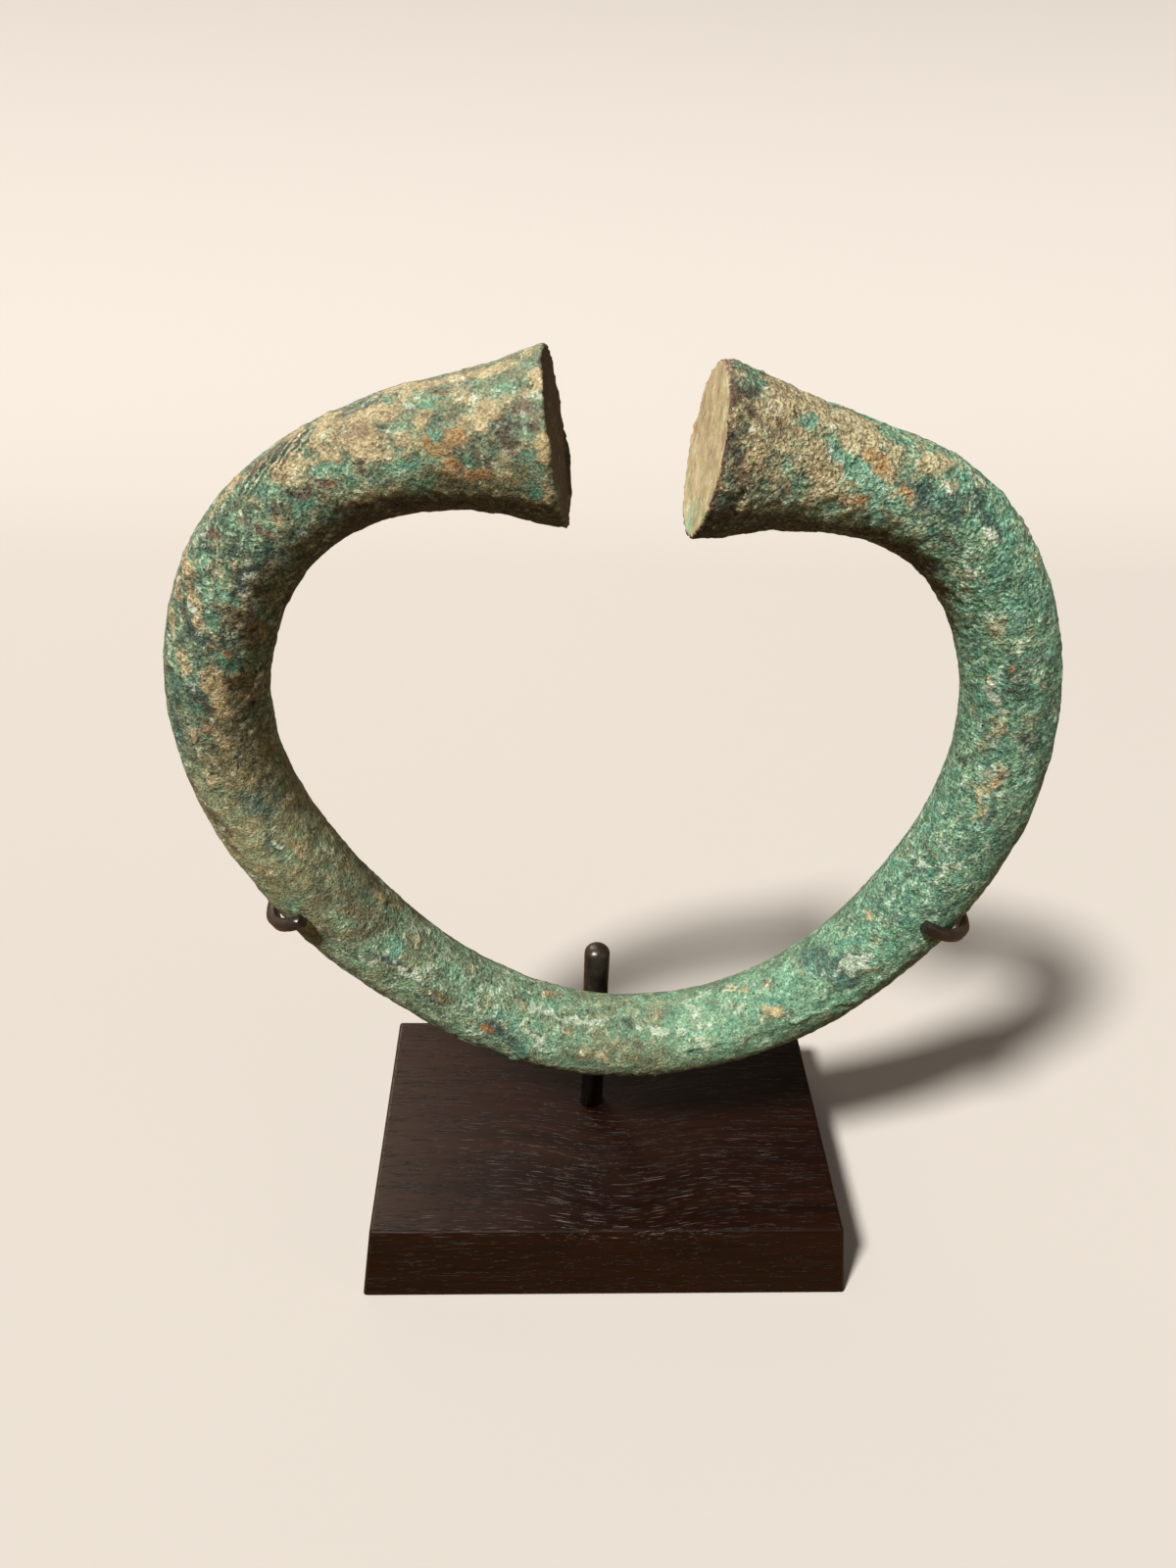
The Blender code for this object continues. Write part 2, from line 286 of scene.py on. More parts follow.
# Manilla
hoopLook = {
    "skin": 0.00072,              # edge length of the fine mesh
    "keptShare": 0.66,            # how much of it is kept, thinned only on the unseen back
    "backFrom": -0.05,            # cosine to the camera from which a face is on the back
    "joinAngles": (0.6, 0.7),     # how flat and square the quads made of two triangles are
    "creaseFrom": 40,             # degrees
    "rimCrease": 0.75,
    "rimBand": 0.0024,            # how wide the bare band along the rims of the end faces is
    "rimEdge": 0.0004,

    "swell": 0.00045,             # heights in metres: broad unevenness of the hand-made bar,
    "lumps": 0.00020,             # lumps, crests of the crust, grain and pits
    "crests": 0.00022,
    "grain": 0.00012,
    "pits": 0.00045,
    "pitSpacing": 0.0044,
    "pitEdge": (0.08, 0.34),      # from the middle of a pit to its rim
    "pitLumps": (-0.1, 0.4),      # pits gather on the lumps
    "pitsAlways": 0.35,           # how deep pits are where the bar isn't rough
    "roughRight": (100, 125, 0.45),  # degrees from and to, and how much rougher the bar gets
    "roughLeft": (150, 160, 0.30),

    "noiseShape": (0.8, 2.0),     # how rough and how finely stepped every noise is
    "swellNoise": (0.030, 2, 0.0),   # size in metres, octaves, drift
    "lumpNoise": (0.0070, 3, 11.0),
    "grainNoise": (0.0020, 2, 37.0),
    "crestNoise": (0.0040, 4, 23.0),
    "wideCrestNoise": (0.012, 2, 29.0),
    "wideCrests": 0.5,            # their share beside the small crests
    "warpNoise": (0.006, 3, 51.0),
    "islandNoise": (0.0055, 4, 70.0),
    "islandDrift": 9,             # from one kind of crust to the next
    "warp": 0.0016,               # how far the edges of patches wander
    "strokeEdge": (0.30, 1.6),    # shares of its half width between which a stroke fades
    "shareGain": 1.3,             # from how much of a kind there is to how far it spreads
    "shareFrom": 0.65,
    "crustEdge": (-0.10, 0.14),   # where a crust gets its thickness, how frayed it is there,
    "crustFray": 0.12,            # and how much thicker it gets on the rough parts
    "crustRough": 0.5,
    "crackShade": -2.0,           # how much painted shade a crack gets with each millimetre of depth
    "crackDarkest": 0.8,
    "paintedRelief": (0.25, 0.20, -0.5),    # what grain, lumps and pits give to the colours as painted light and shade: lighter where the skin rises, darker in pits
    "pebblyRight": (105, 135, 0.65),  # degrees from and to, and how much more pebbly it gets

    "under": (0.25, 0.75),        # how far down the skin faces where it counts as underside
    "underBare": 0.75,            # how much thinner the pale crusts are there, which darkens the underside: partly real crust, partly painted shade
    # brown crust spread over the underside, partly real and partly painted shade, and painted shade
    # that darkens the underside's tone
    "underBrownAndShade": 0.6,
    "paintedUnderShade": -0.16,
    "tanShade": 0.10,
    "tanShadeEdge": (-0.10, 0.35),
    "greenBias": 0.30,            # how mint lightens the green below it and teal darkens it
    "mostBias": 0.25,

    "ends": {                     # the flat faces of the two ends, and their rims
        "turned": (0.93, 0.97),       # how squarely the skin faces sideways there
        "within": 0.035,              # how far from the middle of the hoop they can be,
        "above": 0.22,                # and from which height up
        "rimReach": 0.05,             # from the middle of a face
        "foot": (0.268, 0.238),       # heights between which the right face turns green
        "tan": (0.95, -0.55),         # share on the right face, and what its foot adds
        "mint": (0.15, 0.60),
        "red": (0.30, -0.30),
        "brown": 1.1,                 # on the left face
        "rimBrown": (0.45, 0.95),     # on the left rim and the right one
        "rimRed": 0.62,
        "others": -0.85,
        "shade": (-0.25, 0.12),       # painted shade on the left face and painted light on the right one
        # how much calmer than the bar they are
        "calmer": {"rough": 0.8, "grain": 0.6, "flaky": 0.8, "crusted": 0.6},
    },

    # how far each kind breaks up into islands
    "islands": {
        "teal": .55, "mint": .60, "ochre": .45, "brown": .55, "turquoise": .85, "tan": .65,
        "red": .85, "rust": .80, "pale": 1.0,
    },
    # kinds that keep to the crests (below 0) or the hollows (above 0)
    "hollows": {"tan": -.5, "pale": -.5, "brown": .8},
    # thickness of each kind of crust, in millimetres
    "thickness": {
        "tan": .18, "ochre": .05, "turquoise": .05, "pale": .16, "brown": -.08, "red": -.10,
    },

    "roughness": 0.74,
    "shine": 0.25,                # how much less rough the crests of the grain are
    "shineFrom": (0.3, 0.9),
    "specular": 0.45,
    "bump": 0.00100,
    "faceBump": -0.85,            # what the end faces take away from it

    "mediumCloud": (300.0, 3.0, 2.2, 2.0),    # scale, detail, contrast, drift
    "grainCloud": (1500.0, 3.0, 2.0, 4.0),
    "swirl": {"Scale": 560.0, "Detail": 4.0, "Roughness": 0.62, "Distortion": 0.1},
    "layers": {"Scale": 560.0, "Detail": 3.0, "Roughness": 0.55},
    "cellScale": 900.0,
    "cellBend": 0.0018,           # how far the swirl bends the cells, in metres
    "pebble": (0.86, 0.20),       # distances from the edge of a pebble to its flat top
    "pebbleMiddle": 0.6,
    "core": (0.50, 0.15),
    "pitLots": (0.13, 0.06),      # which of the cells are pits, and which are pale specks, partly crystals and partly painted glints
    "speckLots": (0.90, 0.97),
    "flakeEdges": ((0.42, 0.45), (0.55, 0.58)),
    "ragging": (0.25, 0.75),
    "ribWander": 1.6,

    # the tone follows the bump: lighter on crests, folds, pebbles, flakes, ribs and specks, darker in
    # pits; partly the crust's own tone, partly painted light and shade
    "tone": {"crest": 0.10, "paintedRelief": 0.20, "medium": 0.08, "grit": 0.62, "folds": 0.46,
             "pebbled": 0.17, "flaked": 0.22, "ribbing": 0.28, "pits": -0.32, "specksAndGlints": 0.22},
    "toneRange": (-0.28, 0.68),
    "height": {"folds": 0.70, "grit": 0.40, "medium": 0.15, "pebbled": 0.42, "flaked": 0.60,
               "raised": 0.20, "ribbing": 0.20, "pits": -0.40, "specksAndGlints": 0.20},

    # colours from the hollows to the crests, as seen in daylight on a screen (0 to 255)
    "colours": {
        "green": ((0.0, (32, 42, 33)), (0.25, (64, 78, 61)), (0.50, (104, 121, 96)),
                  (0.72, (142, 160, 129)), (0.90, (178, 196, 163)), (1.0, (206, 222, 190))),
        "teal": ((0.0, (22, 40, 36)), (0.5, (64, 88, 79)), (1.0, (130, 156, 140))),
        "mint": ((0.0, (34, 70, 54)), (0.5, (104, 152, 122)), (1.0, (186, 226, 194))),
        "ochre": ((0.0, (45, 40, 25)), (0.45, (110, 100, 68)), (1.0, (178, 164, 116))),
        "brown": ((0.0, (32, 25, 19)), (0.6, (76, 62, 47)), (1.0, (124, 104, 82))),
        "turquoise": ((0.0, (38, 77, 66)), (0.5, (86, 140, 118)), (1.0, (150, 204, 178))),
        "tan": ((0.0, (70, 58, 41)), (0.30, (118, 102, 74)), (0.60, (164, 145, 107)),
                (1.0, (209, 190, 148))),
        "red": ((0.0, (56, 38, 32)), (1.0, (142, 100, 84))),
        "rust": ((0.0, (96, 62, 32)), (1.0, (208, 146, 76))),
        "pale": ((0.0, (104, 116, 98)), (0.4, (158, 170, 148)), (1.0, (232, 236, 220))),
    },
    # how each kind lies over the ones before it: raggedness and softness of its edge, solidity
    "edges": {
        "mint": (0.15, 0.42, 0.80), "ochre": (0.13, 0.45, 0.85), "brown": (0.16, 0.35, 0.85),
        "tan": (0.16, 0.36, 0.90), "teal": (0.24, 0.30, 0.80), "turquoise": (0.30, 0.28, 0.80),
        "red": (0.45, 0.40, 0.65), "rust": (0.35, 0.42, 0.62), "pale": (0.70, 0.25, 0.75),
    },
}

# Where things are on the hoop, read off the picture. The first two tables go round it by degrees
# from the bottom (positive to the right, 180 at the top); the others give pixels of the picture.

# The share of the surface that each kind of corrosion covers
shares = {
    "ochre": (
        (-175, .36), (-150, .28), (-120, .25), (-100, .32), (-85, .6), (-60, .5), (-45, .36),
        (-20, .24), (0, .44), (20, .26), (50, .08), (80, .1), (110, .06), (140, .08), (175, .36),
    ),
    "mint": (
        (-175, .16), (-150, .26), (-120, .32), (-100, .26), (-80, .12), (-60, .3), (-40, .42),
        (-15, .46), (15, .56), (40, .66), (70, .72), (100, .72), (120, .78), (145, .66), (160, .46),
        (175, .32),
    ),
    "turquoise": (
        (-175, .02), (-140, .06), (-110, .08), (-80, 0.0), (-50, .02), (-20, .1), (20, .07), (60, .24),
        (100, .28), (125, .34), (145, .28), (160, .1), (175, 0.0),
    ),
    "teal": (
        (-175, .1), (-130, .16), (-105, .34), (-85, .12), (-60, .2), (-30, .24), (0, .08), (30, .16),
        (60, .34), (90, .34), (115, .36), (140, .16), (175, .06),
    ),
    "tan": (
        (-175, .34), (-150, .34), (-120, .26), (-100, .14), (-80, .12), (-50, .06), (-20, .04),
        (10, .12), (40, .04), (80, .08), (85, .08), (110, .06), (130, .14), (150, .38), (175, .48),
    ),
    "brown": (
        (-175, .12), (-140, .05), (-100, .12), (-85, .05), (-60, .06), (-20, .06), (30, .04), (90, .08),
        (140, .08), (160, .22), (175, .42),
    ),
    "pale": (
        (-175, .02), (-120, .04), (-80, 0.0), (-40, .03), (0, .06), (40, .03), (100, .03), (175, 0.0),
    ),
    "rust": ((-175, .01), (175, .01)),
    "red": ((-175, .01), (-120, .03), (-90, .01), (-50, 0.0), (175, .01)),
}

roundHoop = {
    "shade": (  # how much lighter or darker all of it is: partly the crust's own tone, partly painted light and shade
        (-175, -.04), (-155, -.08), (-140, -.06), (-125, -.07), (-112, -.07), (-100, -.02), (-80, .07),
        (-65, -.09), (-55, -.06), (-45, .01), (-20, -.01), (0, -.06), (20, -.07), (40, -.07),
        (60, -.05), (90, -.045), (105, -.05), (125, .02), (150, .02), (165, -.05), (175, -.12),
    ),
    "flaky": (  # how flaky the crust is
        (-175, .4), (-155, .3), (-140, .8), (-120, 1.2), (-95, .9), (-82, .15), (-60, .15), (-40, .6),
        (-20, .8), (0, .5), (15, .4), (40, .8), (70, 1.1), (100, 1.1), (125, 1.2), (150, .7), (175, .4),
    ),
    "crusted": (  # how rough it is: 1 on the arms, less where worn smooth
        (-175, .6), (-150, .75), (-125, 1.0), (-100, .8), (-80, .6), (-55, .85), (-35, .95), (-10, .75),
        (20, .65), (45, .8), (70, 1.0), (175, 1.0),
    ),
}

# Patches of one kind: strokes from pixel to pixel, with their half width in pixels and how
# fully they cover
patches = {
    "tan": [
        (255, 472, 300, 440, 12, .95), (300, 438, 345, 425, 13, 1.0), (335, 440, 372, 432, 14, 1.05),
        (355, 428, 392, 420, 10, 1.1), (372, 440, 388, 458, 9, 1.0), (345, 452, 372, 458, 8, .7),
        (320, 455, 345, 465, 8, .8), (283, 478, 292, 488, 8, .8), (240, 492, 262, 478, 8, .7),
        (300, 470, 318, 468, 9, .6), (386, 462, 388, 452, 5, 1.1), (405, 445, 412, 450, 8, .85),
        (400, 400, 440, 392, 8, .8), (215, 525, 238, 500, 6, .6), (400, 398, 480, 384, 9, .9),
        (480, 384, 520, 372, 9, .9), (520, 368, 540, 358, 5, .5), (403, 412, 412, 405, 7, .8),
        (430, 430, 436, 426, 6, .8), (545, 382, 552, 394, 7, 1.3), (541, 380, 545, 378, 5, 1.2),
        (450, 400, 500, 430, 16, .5), (455, 440, 470, 430, 8, .5), (553, 450, 560, 500, 6, .85),
        (555, 492, 563, 512, 5, .9), (545, 455, 552, 470, 6, .5), (187, 570, 196, 588, 7, 1.0),
        (182, 592, 184, 608, 5, .9), (175, 620, 178, 642, 6, .8), (195, 600, 203, 632, 7, .95),
        (200, 625, 206, 640, 5, .8), (186, 670, 192, 684, 5, .9), (215, 690, 225, 720, 10, .85),
        (222, 750, 240, 770, 10, .45), (196, 735, 200, 758, 4, .9), (212, 790, 218, 800, 6, .5),
        (300, 862, 318, 874, 7, .45), (395, 930, 430, 960, 4, .5), (379, 910, 395, 920, 4, .5),
        (508, 1046, 515, 1048, 5, .7), (576, 1052, 582, 1056, 5, .7), (530, 1022, 536, 1030, 5, .6),
        (480, 985, 483, 990, 4, .6), (560, 1015, 566, 1014, 5, .6), (660, 1035, 680, 1036, 7, .58),
        (685, 1025, 700, 1020, 9, .32), (780, 1036, 796, 1030, 8, .65), (822, 1044, 842, 1038, 7, .43),
        (740, 1005, 760, 1008, 6, .43), (600, 1075, 640, 1085, 8, .4), (885, 933, 888, 936, 5, .65),
        (862, 940, 868, 936, 5, .5), (960, 880, 985, 875, 12, .43), (970, 840, 975, 832, 8, .43),
        (905, 935, 910, 945, 7, .36), (870, 1000, 888, 990, 5, .5), (895, 905, 905, 915, 5, .36),
        (1000, 850, 1012, 845, 6, .36), (1018, 645, 1032, 660, 9, .43), (988, 665, 989, 672, 5, .65),
        (1030, 682, 1034, 685, 4, .72), (1010, 690, 1014, 700, 6, .72), (1058, 690, 1066, 705, 7, .58),
        (1040, 697, 1045, 700, 4, .43), (994, 730, 998, 736, 6, .5), (1010, 730, 1025, 735, 9, .58),
        (1005, 755, 1022, 748, 9, .61), (1010, 795, 1018, 785, 9, .72), (995, 800, 1004, 808, 7, .68),
        (1000, 810, 1008, 830, 6, .68), (990, 835, 1005, 828, 4, .5), (1042, 728, 1048, 745, 8, .36),
        (1060, 730, 1063, 735, 5, .43), (1075, 655, 1080, 690, 6, .29), (890, 470, 930, 495, 12, .7),
        (900, 498, 920, 505, 6, .9), (945, 470, 970, 495, 12, .65), (960, 465, 1000, 490, 8, .6),
        (1015, 515, 1050, 545, 7, .4), (1050, 545, 1058, 575, 7, .36), (980, 522, 992, 528, 7, .54),
        (958, 535, 968, 540, 6, .58), (960, 572, 985, 590, 10, .4), (985, 600, 992, 605, 5, .5),
        (1003, 597, 1010, 602, 5, .58), (1010, 635, 1025, 640, 8, .36), (990, 565, 995, 575, 5, .43),
        (755, 390, 775, 400, 8, .6), (800, 400, 880, 440, 22, .85), (790, 415, 830, 470, 18, .85),
        (830, 470, 890, 490, 14, .8), (745, 400, 770, 470, 14, .45), (765, 450, 800, 500, 14, .75),
        (840, 500, 880, 510, 8, .7), (880, 430, 920, 470, 14, .7), (855, 520, 885, 525, 6, .5),
    ],
    "ochre": [
        (440, 480, 470, 475, 10, .6), (455, 490, 510, 500, 9, .75), (520, 485, 535, 480, 9, .6),
        (530, 500, 550, 515, 7, .7), (500, 448, 506, 452, 6, .7), (445, 500, 480, 505, 8, .6),
        (238, 615, 262, 650, 12, 1.0), (250, 565, 254, 575, 4, .8), (235, 590, 245, 585, 6, .5),
        (255, 600, 275, 615, 10, .6), (240, 690, 262, 700, 10, .7), (230, 700, 262, 715, 16, .8),
        (225, 740, 265, 760, 22, .85), (215, 770, 255, 800, 18, .8), (280, 760, 268, 790, 10, .5),
        (285, 845, 300, 835, 8, .7), (300, 860, 315, 870, 9, .7), (230, 820, 245, 815, 10, .5),
        (260, 885, 290, 890, 8, .5), (300, 905, 315, 900, 9, .7), (300, 915, 320, 915, 8, .6),
        (355, 930, 368, 934, 8, .8), (350, 880, 400, 915, 8, .75), (400, 925, 415, 922, 6, .75),
        (375, 955, 410, 960, 8, .5), (418, 955, 425, 965, 8, .8), (436, 1008, 446, 1015, 6, .8),
        (448, 1018, 455, 1022, 7, .85), (560, 1045, 572, 1050, 8, .5), (590, 1075, 605, 1085, 9, .6),
        (575, 1090, 600, 1092, 6, .7), (540, 1085, 575, 1090, 6, .5), (600, 1060, 680, 1075, 12, .5),
        (640, 1080, 690, 1085, 10, .6), (690, 1088, 740, 1085, 6, .61), (785, 1002, 788, 1010, 4, .79),
        (808, 975, 815, 985, 6, .58), (925, 862, 930, 868, 5, .65), (918, 875, 922, 870, 4, .58),
        (895, 960, 905, 958, 5, .5), (875, 995, 890, 998, 6, .43), (985, 905, 995, 900, 5, .43),
        (900, 940, 910, 952, 7, .36), (1050, 645, 1060, 665, 9, .36), (1000, 765, 1015, 775, 9, .5),
        (1025, 720, 1032, 728, 6, .58), (1045, 735, 1050, 752, 7, .5), (975, 815, 985, 835, 7, .36),
        (1045, 820, 1040, 835, 5, .36), (905, 520, 925, 518, 6, .43), (1040, 558, 1044, 565, 4, .58),
        (1005, 620, 1020, 625, 10, .32), (1025, 655, 1032, 650, 5, .43), (930, 545, 945, 560, 8, .29),
        (940, 580, 960, 600, 8, .29), (745, 410, 760, 440, 10, .6), (750, 480, 765, 500, 12, .55),
        (760, 510, 790, 515, 10, .36), (885, 470, 895, 465, 7, .8), (865, 510, 880, 505, 6, .5),
    ],
    "brown": [
        (355, 440, 368, 446, 4.8, .6), (345, 452, 352, 450, 3.2, .5), (350, 520, 420, 515, 5.6, .7),
        (300, 505, 308, 515, 4.8, .9), (280, 520, 290, 530, 4.8, .7), (368, 470, 372, 462, 3.2, .8),
        (540, 355, 556, 370, 6.4, 1.0), (395, 512, 480, 516, 5.6, .8), (505, 480, 495, 492, 4.8, .8),
        (508, 430, 520, 455, 6.4, .85), (484, 462, 506, 470, 4.8, .8), (522, 432, 545, 438, 4, .8),
        (440, 398, 458, 396, 1.6, .9), (400, 400, 440, 398, 1.2, .6), (186, 625, 200, 642, 4, .8),
        (205, 640, 216, 658, 4.8, .8), (255, 635, 262, 660, 4, .5), (206, 550, 222, 545, 5.6, .5),
        (200, 712, 208, 722, 4.8, .9), (200, 730, 208, 735, 4, .6), (256, 717, 261, 719, 3.2, 1.2),
        (190, 790, 230, 850, 6.4, .6), (225, 850, 262, 890, 5.6, .5), (270, 850, 285, 870, 4.8, .6),
        (480, 990, 486, 1010, 2.4, .8), (493, 1045, 508, 1055, 5.6, .9),
        (470, 1025, 478, 1030, 3.2, .7), (385, 975, 420, 990, 5.6, .6), (560, 1035, 572, 1045, 4.8, .5),
        (575, 1090, 590, 1092, 3.2, .8), (638, 1040, 644, 1048, 4.8, .55),
        (640, 1062, 655, 1068, 4, .5), (718, 1015, 722, 1012, 3.2, .7),
        (863, 1008, 867, 1011, 2.4, 1.1), (925, 894, 928, 896, 2.4, 1.2), (945, 870, 950, 866, 4, .6),
        (880, 920, 885, 930, 3.2, .6), (915, 940, 920, 950, 4.8, .6), (1028, 700, 1034, 708, 3.2, .9),
        (1040, 755, 1048, 758, 4, .8), (975, 775, 982, 780, 3.2, 1.0), (1085, 690, 1086, 720, 2.4, .7),
        (1035, 785, 1038, 785, 2, 1.0), (960, 545, 975, 555, 4, .8), (975, 560, 985, 565, 4, .7),
        (900, 552, 950, 590, 5.6, .8), (748, 385, 741, 410, 3.2, 1.0), (741, 410, 735, 450, 4, 1.1),
        (733, 450, 722, 500, 4.8, 1.1), (722, 500, 705, 540, 4, 1.1), (750, 400, 780, 430, 9.6, .65),
        (762, 398, 778, 400, 3.2, .8), (740, 440, 755, 480, 6.4, .7), (730, 490, 745, 520, 6.4, .6),
        (790, 405, 786, 412, 3.2, .7), (812, 464, 825, 468, 3.2, .8), (740, 525, 830, 535, 7.2, .8),
    ],
    "mint": [
        (245, 495, 280, 485, 9, .8), (262, 500, 290, 505, 8, .6), (320, 478, 355, 485, 8, .8),
        (345, 465, 360, 458, 6, .7), (395, 415, 425, 405, 8, .6), (400, 470, 425, 450, 12, .75),
        (400, 490, 430, 485, 10, .6), (280, 535, 320, 525, 8, .6), (340, 475, 375, 468, 7, .7),
        (240, 530, 260, 530, 9, .5), (410, 430, 430, 480, 13, .75), (415, 412, 440, 410, 6, .8),
        (425, 440, 440, 470, 10, .7), (460, 410, 490, 425, 10, .5), (505, 405, 520, 395, 8, .5),
        (535, 435, 548, 450, 8, .5), (515, 370, 530, 372, 8, .6), (212, 605, 238, 615, 9, .95),
        (225, 598, 238, 602, 6, 1.0), (212, 628, 218, 640, 5, .9), (170, 655, 185, 680, 8, .95),
        (190, 695, 200, 700, 6, .8), (205, 560, 215, 575, 7, .6), (245, 560, 262, 552, 7, .6),
        (250, 670, 262, 660, 4, .9), (232, 690, 258, 680, 3, 1.0), (200, 700, 212, 690, 5, .7),
        (170, 700, 185, 690, 8, .6), (268, 852, 290, 880, 7, .7), (285, 878, 295, 872, 4, .9),
        (280, 862, 287, 868, 4, 1.2), (335, 845, 347, 865, 5, .8), (285, 910, 300, 925, 7, .7),
        (330, 935, 400, 985, 12, .5), (380, 915, 400, 935, 6, .6), (350, 975, 390, 990, 7, .6),
        (500, 985, 545, 1000, 8, .7), (520, 1000, 620, 1020, 9, .6), (530, 1055, 560, 1075, 9, .8),
        (545, 1045, 560, 1055, 5, 1.0), (590, 1050, 615, 1045, 9, .6), (660, 1055, 695, 1050, 9, .9),
        (700, 1025, 715, 1040, 9, 1.0), (720, 1015, 760, 1020, 11, .8), (700, 1055, 740, 1060, 12, .8),
        (730, 1035, 765, 1045, 14, .75), (765, 1035, 790, 1020, 9, 1.2), (785, 1012, 795, 1008, 5, 1.0),
        (800, 990, 830, 970, 12, .7), (830, 960, 860, 950, 12, .75), (860, 965, 905, 965, 8, .7),
        (890, 880, 920, 850, 12, .7), (935, 850, 960, 840, 10, .85), (920, 905, 945, 905, 10, .8),
        (945, 890, 952, 900, 5, 1.1), (870, 1015, 920, 990, 7, .6), (905, 915, 925, 940, 8, .6),
        (975, 760, 985, 700, 8, .6), (1000, 690, 1010, 715, 7, .8), (1045, 650, 1048, 670, 5, .95),
        (985, 815, 995, 830, 6, .9), (1025, 800, 1045, 790, 9, .6), (1060, 750, 1065, 790, 5, .6),
        (1035, 665, 1042, 668, 6, .8), (995, 560, 1030, 590, 14, .8), (1010, 545, 1030, 575, 10, .8),
        (965, 480, 985, 490, 8, .7), (970, 545, 990, 570, 9, .6), (1035, 620, 1045, 640, 6, .7),
        (890, 485, 925, 500, 7, .8), (980, 580, 1000, 590, 6, .9), (770, 385, 790, 400, 7, .8),
        (740, 372, 770, 378, 6, .8), (820, 400, 870, 420, 7, .5), (820, 445, 845, 450, 6, .7),
        (800, 455, 808, 475, 5, .8), (812, 475, 840, 475, 5, .7), (785, 440, 795, 445, 6, .7),
        (815, 495, 850, 515, 9, .65), (830, 445, 836, 460, 5, .7),
    ],
    "turquoise": [
        (407, 482, 432, 470, 6, .5), (300, 518, 322, 510, 7, .6), (475, 462, 478, 472, 4, 1.2),
        (442, 443, 447, 446, 4, 1.1), (537, 440, 548, 500, 7, .45), (400, 960, 405, 972, 8, .8),
        (392, 925, 398, 932, 5, .6), (500, 1030, 520, 1045, 9, .6), (525, 1065, 535, 1075, 7, .6),
        (885, 490, 895, 500, 6, 1.2), (890, 500, 900, 518, 7, 1.2), (875, 485, 885, 492, 4, 1.1),
        (905, 512, 922, 515, 5, 1.3), (850, 462, 862, 470, 6, 1.0), (865, 470, 876, 482, 6, 1.0),
        (855, 470, 870, 478, 5, 1.0), (812, 425, 826, 430, 6, .7), (946, 885, 950, 895, 4, 1.2),
        (870, 525, 895, 530, 6, .8), (895, 515, 915, 530, 5, .6), (700, 1070, 712, 1065, 8, .6),
        (855, 962, 875, 962, 6, .7), (1015, 585, 1025, 575, 8, .7), (1028, 540, 1035, 560, 7, .6),
        (1010, 605, 1022, 590, 4, .9), (965, 490, 985, 480, 6, .6), (985, 650, 995, 665, 8, .6),
        (990, 690, 995, 680, 6, .6), (930, 845, 945, 860, 7, .5), (900, 870, 912, 880, 5, .5),
        (222, 672, 240, 682, 6, .8), (225, 600, 232, 612, 6, .6), (955, 820, 965, 810, 6, .5),
        (800, 515, 815, 505, 6, .6), (780, 392, 786, 400, 5, .7), (770, 1034, 790, 1020, 6, .6),
    ],
    "teal": [
        (352, 412, 358, 420, 4, 1.2), (372, 412, 384, 405, 4, 1.0), (300, 545, 330, 550, 9, .4),
        (225, 575, 240, 560, 8, .5), (240, 600, 262, 570, 6, 1.1), (262, 570, 268, 560, 4, 1.1),
        (200, 645, 220, 660, 8, .9), (205, 555, 215, 562, 6, .8), (195, 700, 205, 712, 6, .9),
        (178, 700, 182, 760, 6, .9), (250, 812, 275, 830, 11, .75), (270, 800, 285, 810, 6, .6),
        (275, 860, 290, 880, 6, .7), (230, 650, 262, 665, 6, .5), (385, 975, 410, 985, 6, .7),
        (500, 1040, 515, 1060, 8, .6), (520, 1060, 530, 1075, 8, .6), (440, 1020, 430, 1025, 5, .7),
        (825, 975, 865, 1000, 14, .85), (850, 985, 880, 975, 10, .8), (930, 895, 940, 885, 8, .5),
        (1030, 685, 1045, 690, 7, .8), (1045, 675, 1075, 668, 5, .7), (1030, 705, 1036, 700, 4, 1.1),
        (1048, 765, 1055, 758, 9, .9), (1045, 775, 1035, 780, 7, .6), (1010, 840, 1015, 825, 6, .8),
        (940, 505, 975, 525, 10, .95), (975, 505, 990, 510, 6, .9), (1000, 500, 1005, 520, 7, .7),
        (1005, 525, 1018, 545, 6, 1.0), (925, 495, 940, 505, 6, .9), (945, 535, 955, 545, 6, .8),
        (985, 640, 1000, 655, 9, .55), (795, 500, 800, 510, 5, .8), (850, 475, 856, 465, 3, 1.1),
        (884, 478, 878, 484, 3, 1.1), (505, 435, 515, 430, 6, .5),
    ],
    "rust": [
        (436, 450, 446, 456, 5, 1.2), (452, 448, 463, 444, 6, .9), (455, 474, 466, 480, 6, 1.1),
        (470, 483, 485, 488, 6, .6), (492, 484, 505, 490, 7, .6), (226, 667, 232, 671, 3.5, 1.1),
        (216, 660, 220, 682, 3, .6), (886, 468, 896, 474, 7, .7), (872, 510, 882, 512, 5, .58),
        (902, 520, 910, 530, 6, .58), (920, 498, 926, 506, 5, .8), (766, 420, 770, 424, 3, .8),
        (1000, 818, 1004, 826, 4, .43), (885, 932, 888, 936, 4, .43), (495, 1046, 500, 1052, 4, .6),
        (787, 1002, 788, 1009, 3, .5), (1032, 681, 1034, 684, 3, .43),
    ],
    "red": [
        (272, 470, 258, 485, 3.2, 1.2), (323, 495, 345, 493, 3.2, 1.2), (345, 493, 335, 503, 2.4, 1.0),
        (300, 510, 312, 500, 3.2, .8), (285, 490, 291, 494, 2.4, .8), (364, 468, 368, 480, 2.4, 1.0),
        (254, 532, 262, 538, 3.2, 1.2), (264, 540, 272, 543, 2.8, 1.1), (240, 524, 247, 530, 2.4, .8),
        (214, 545, 224, 548, 3.2, .9), (525, 412, 545, 418, 4.8, .95), (545, 415, 556, 420, 3.2, .9),
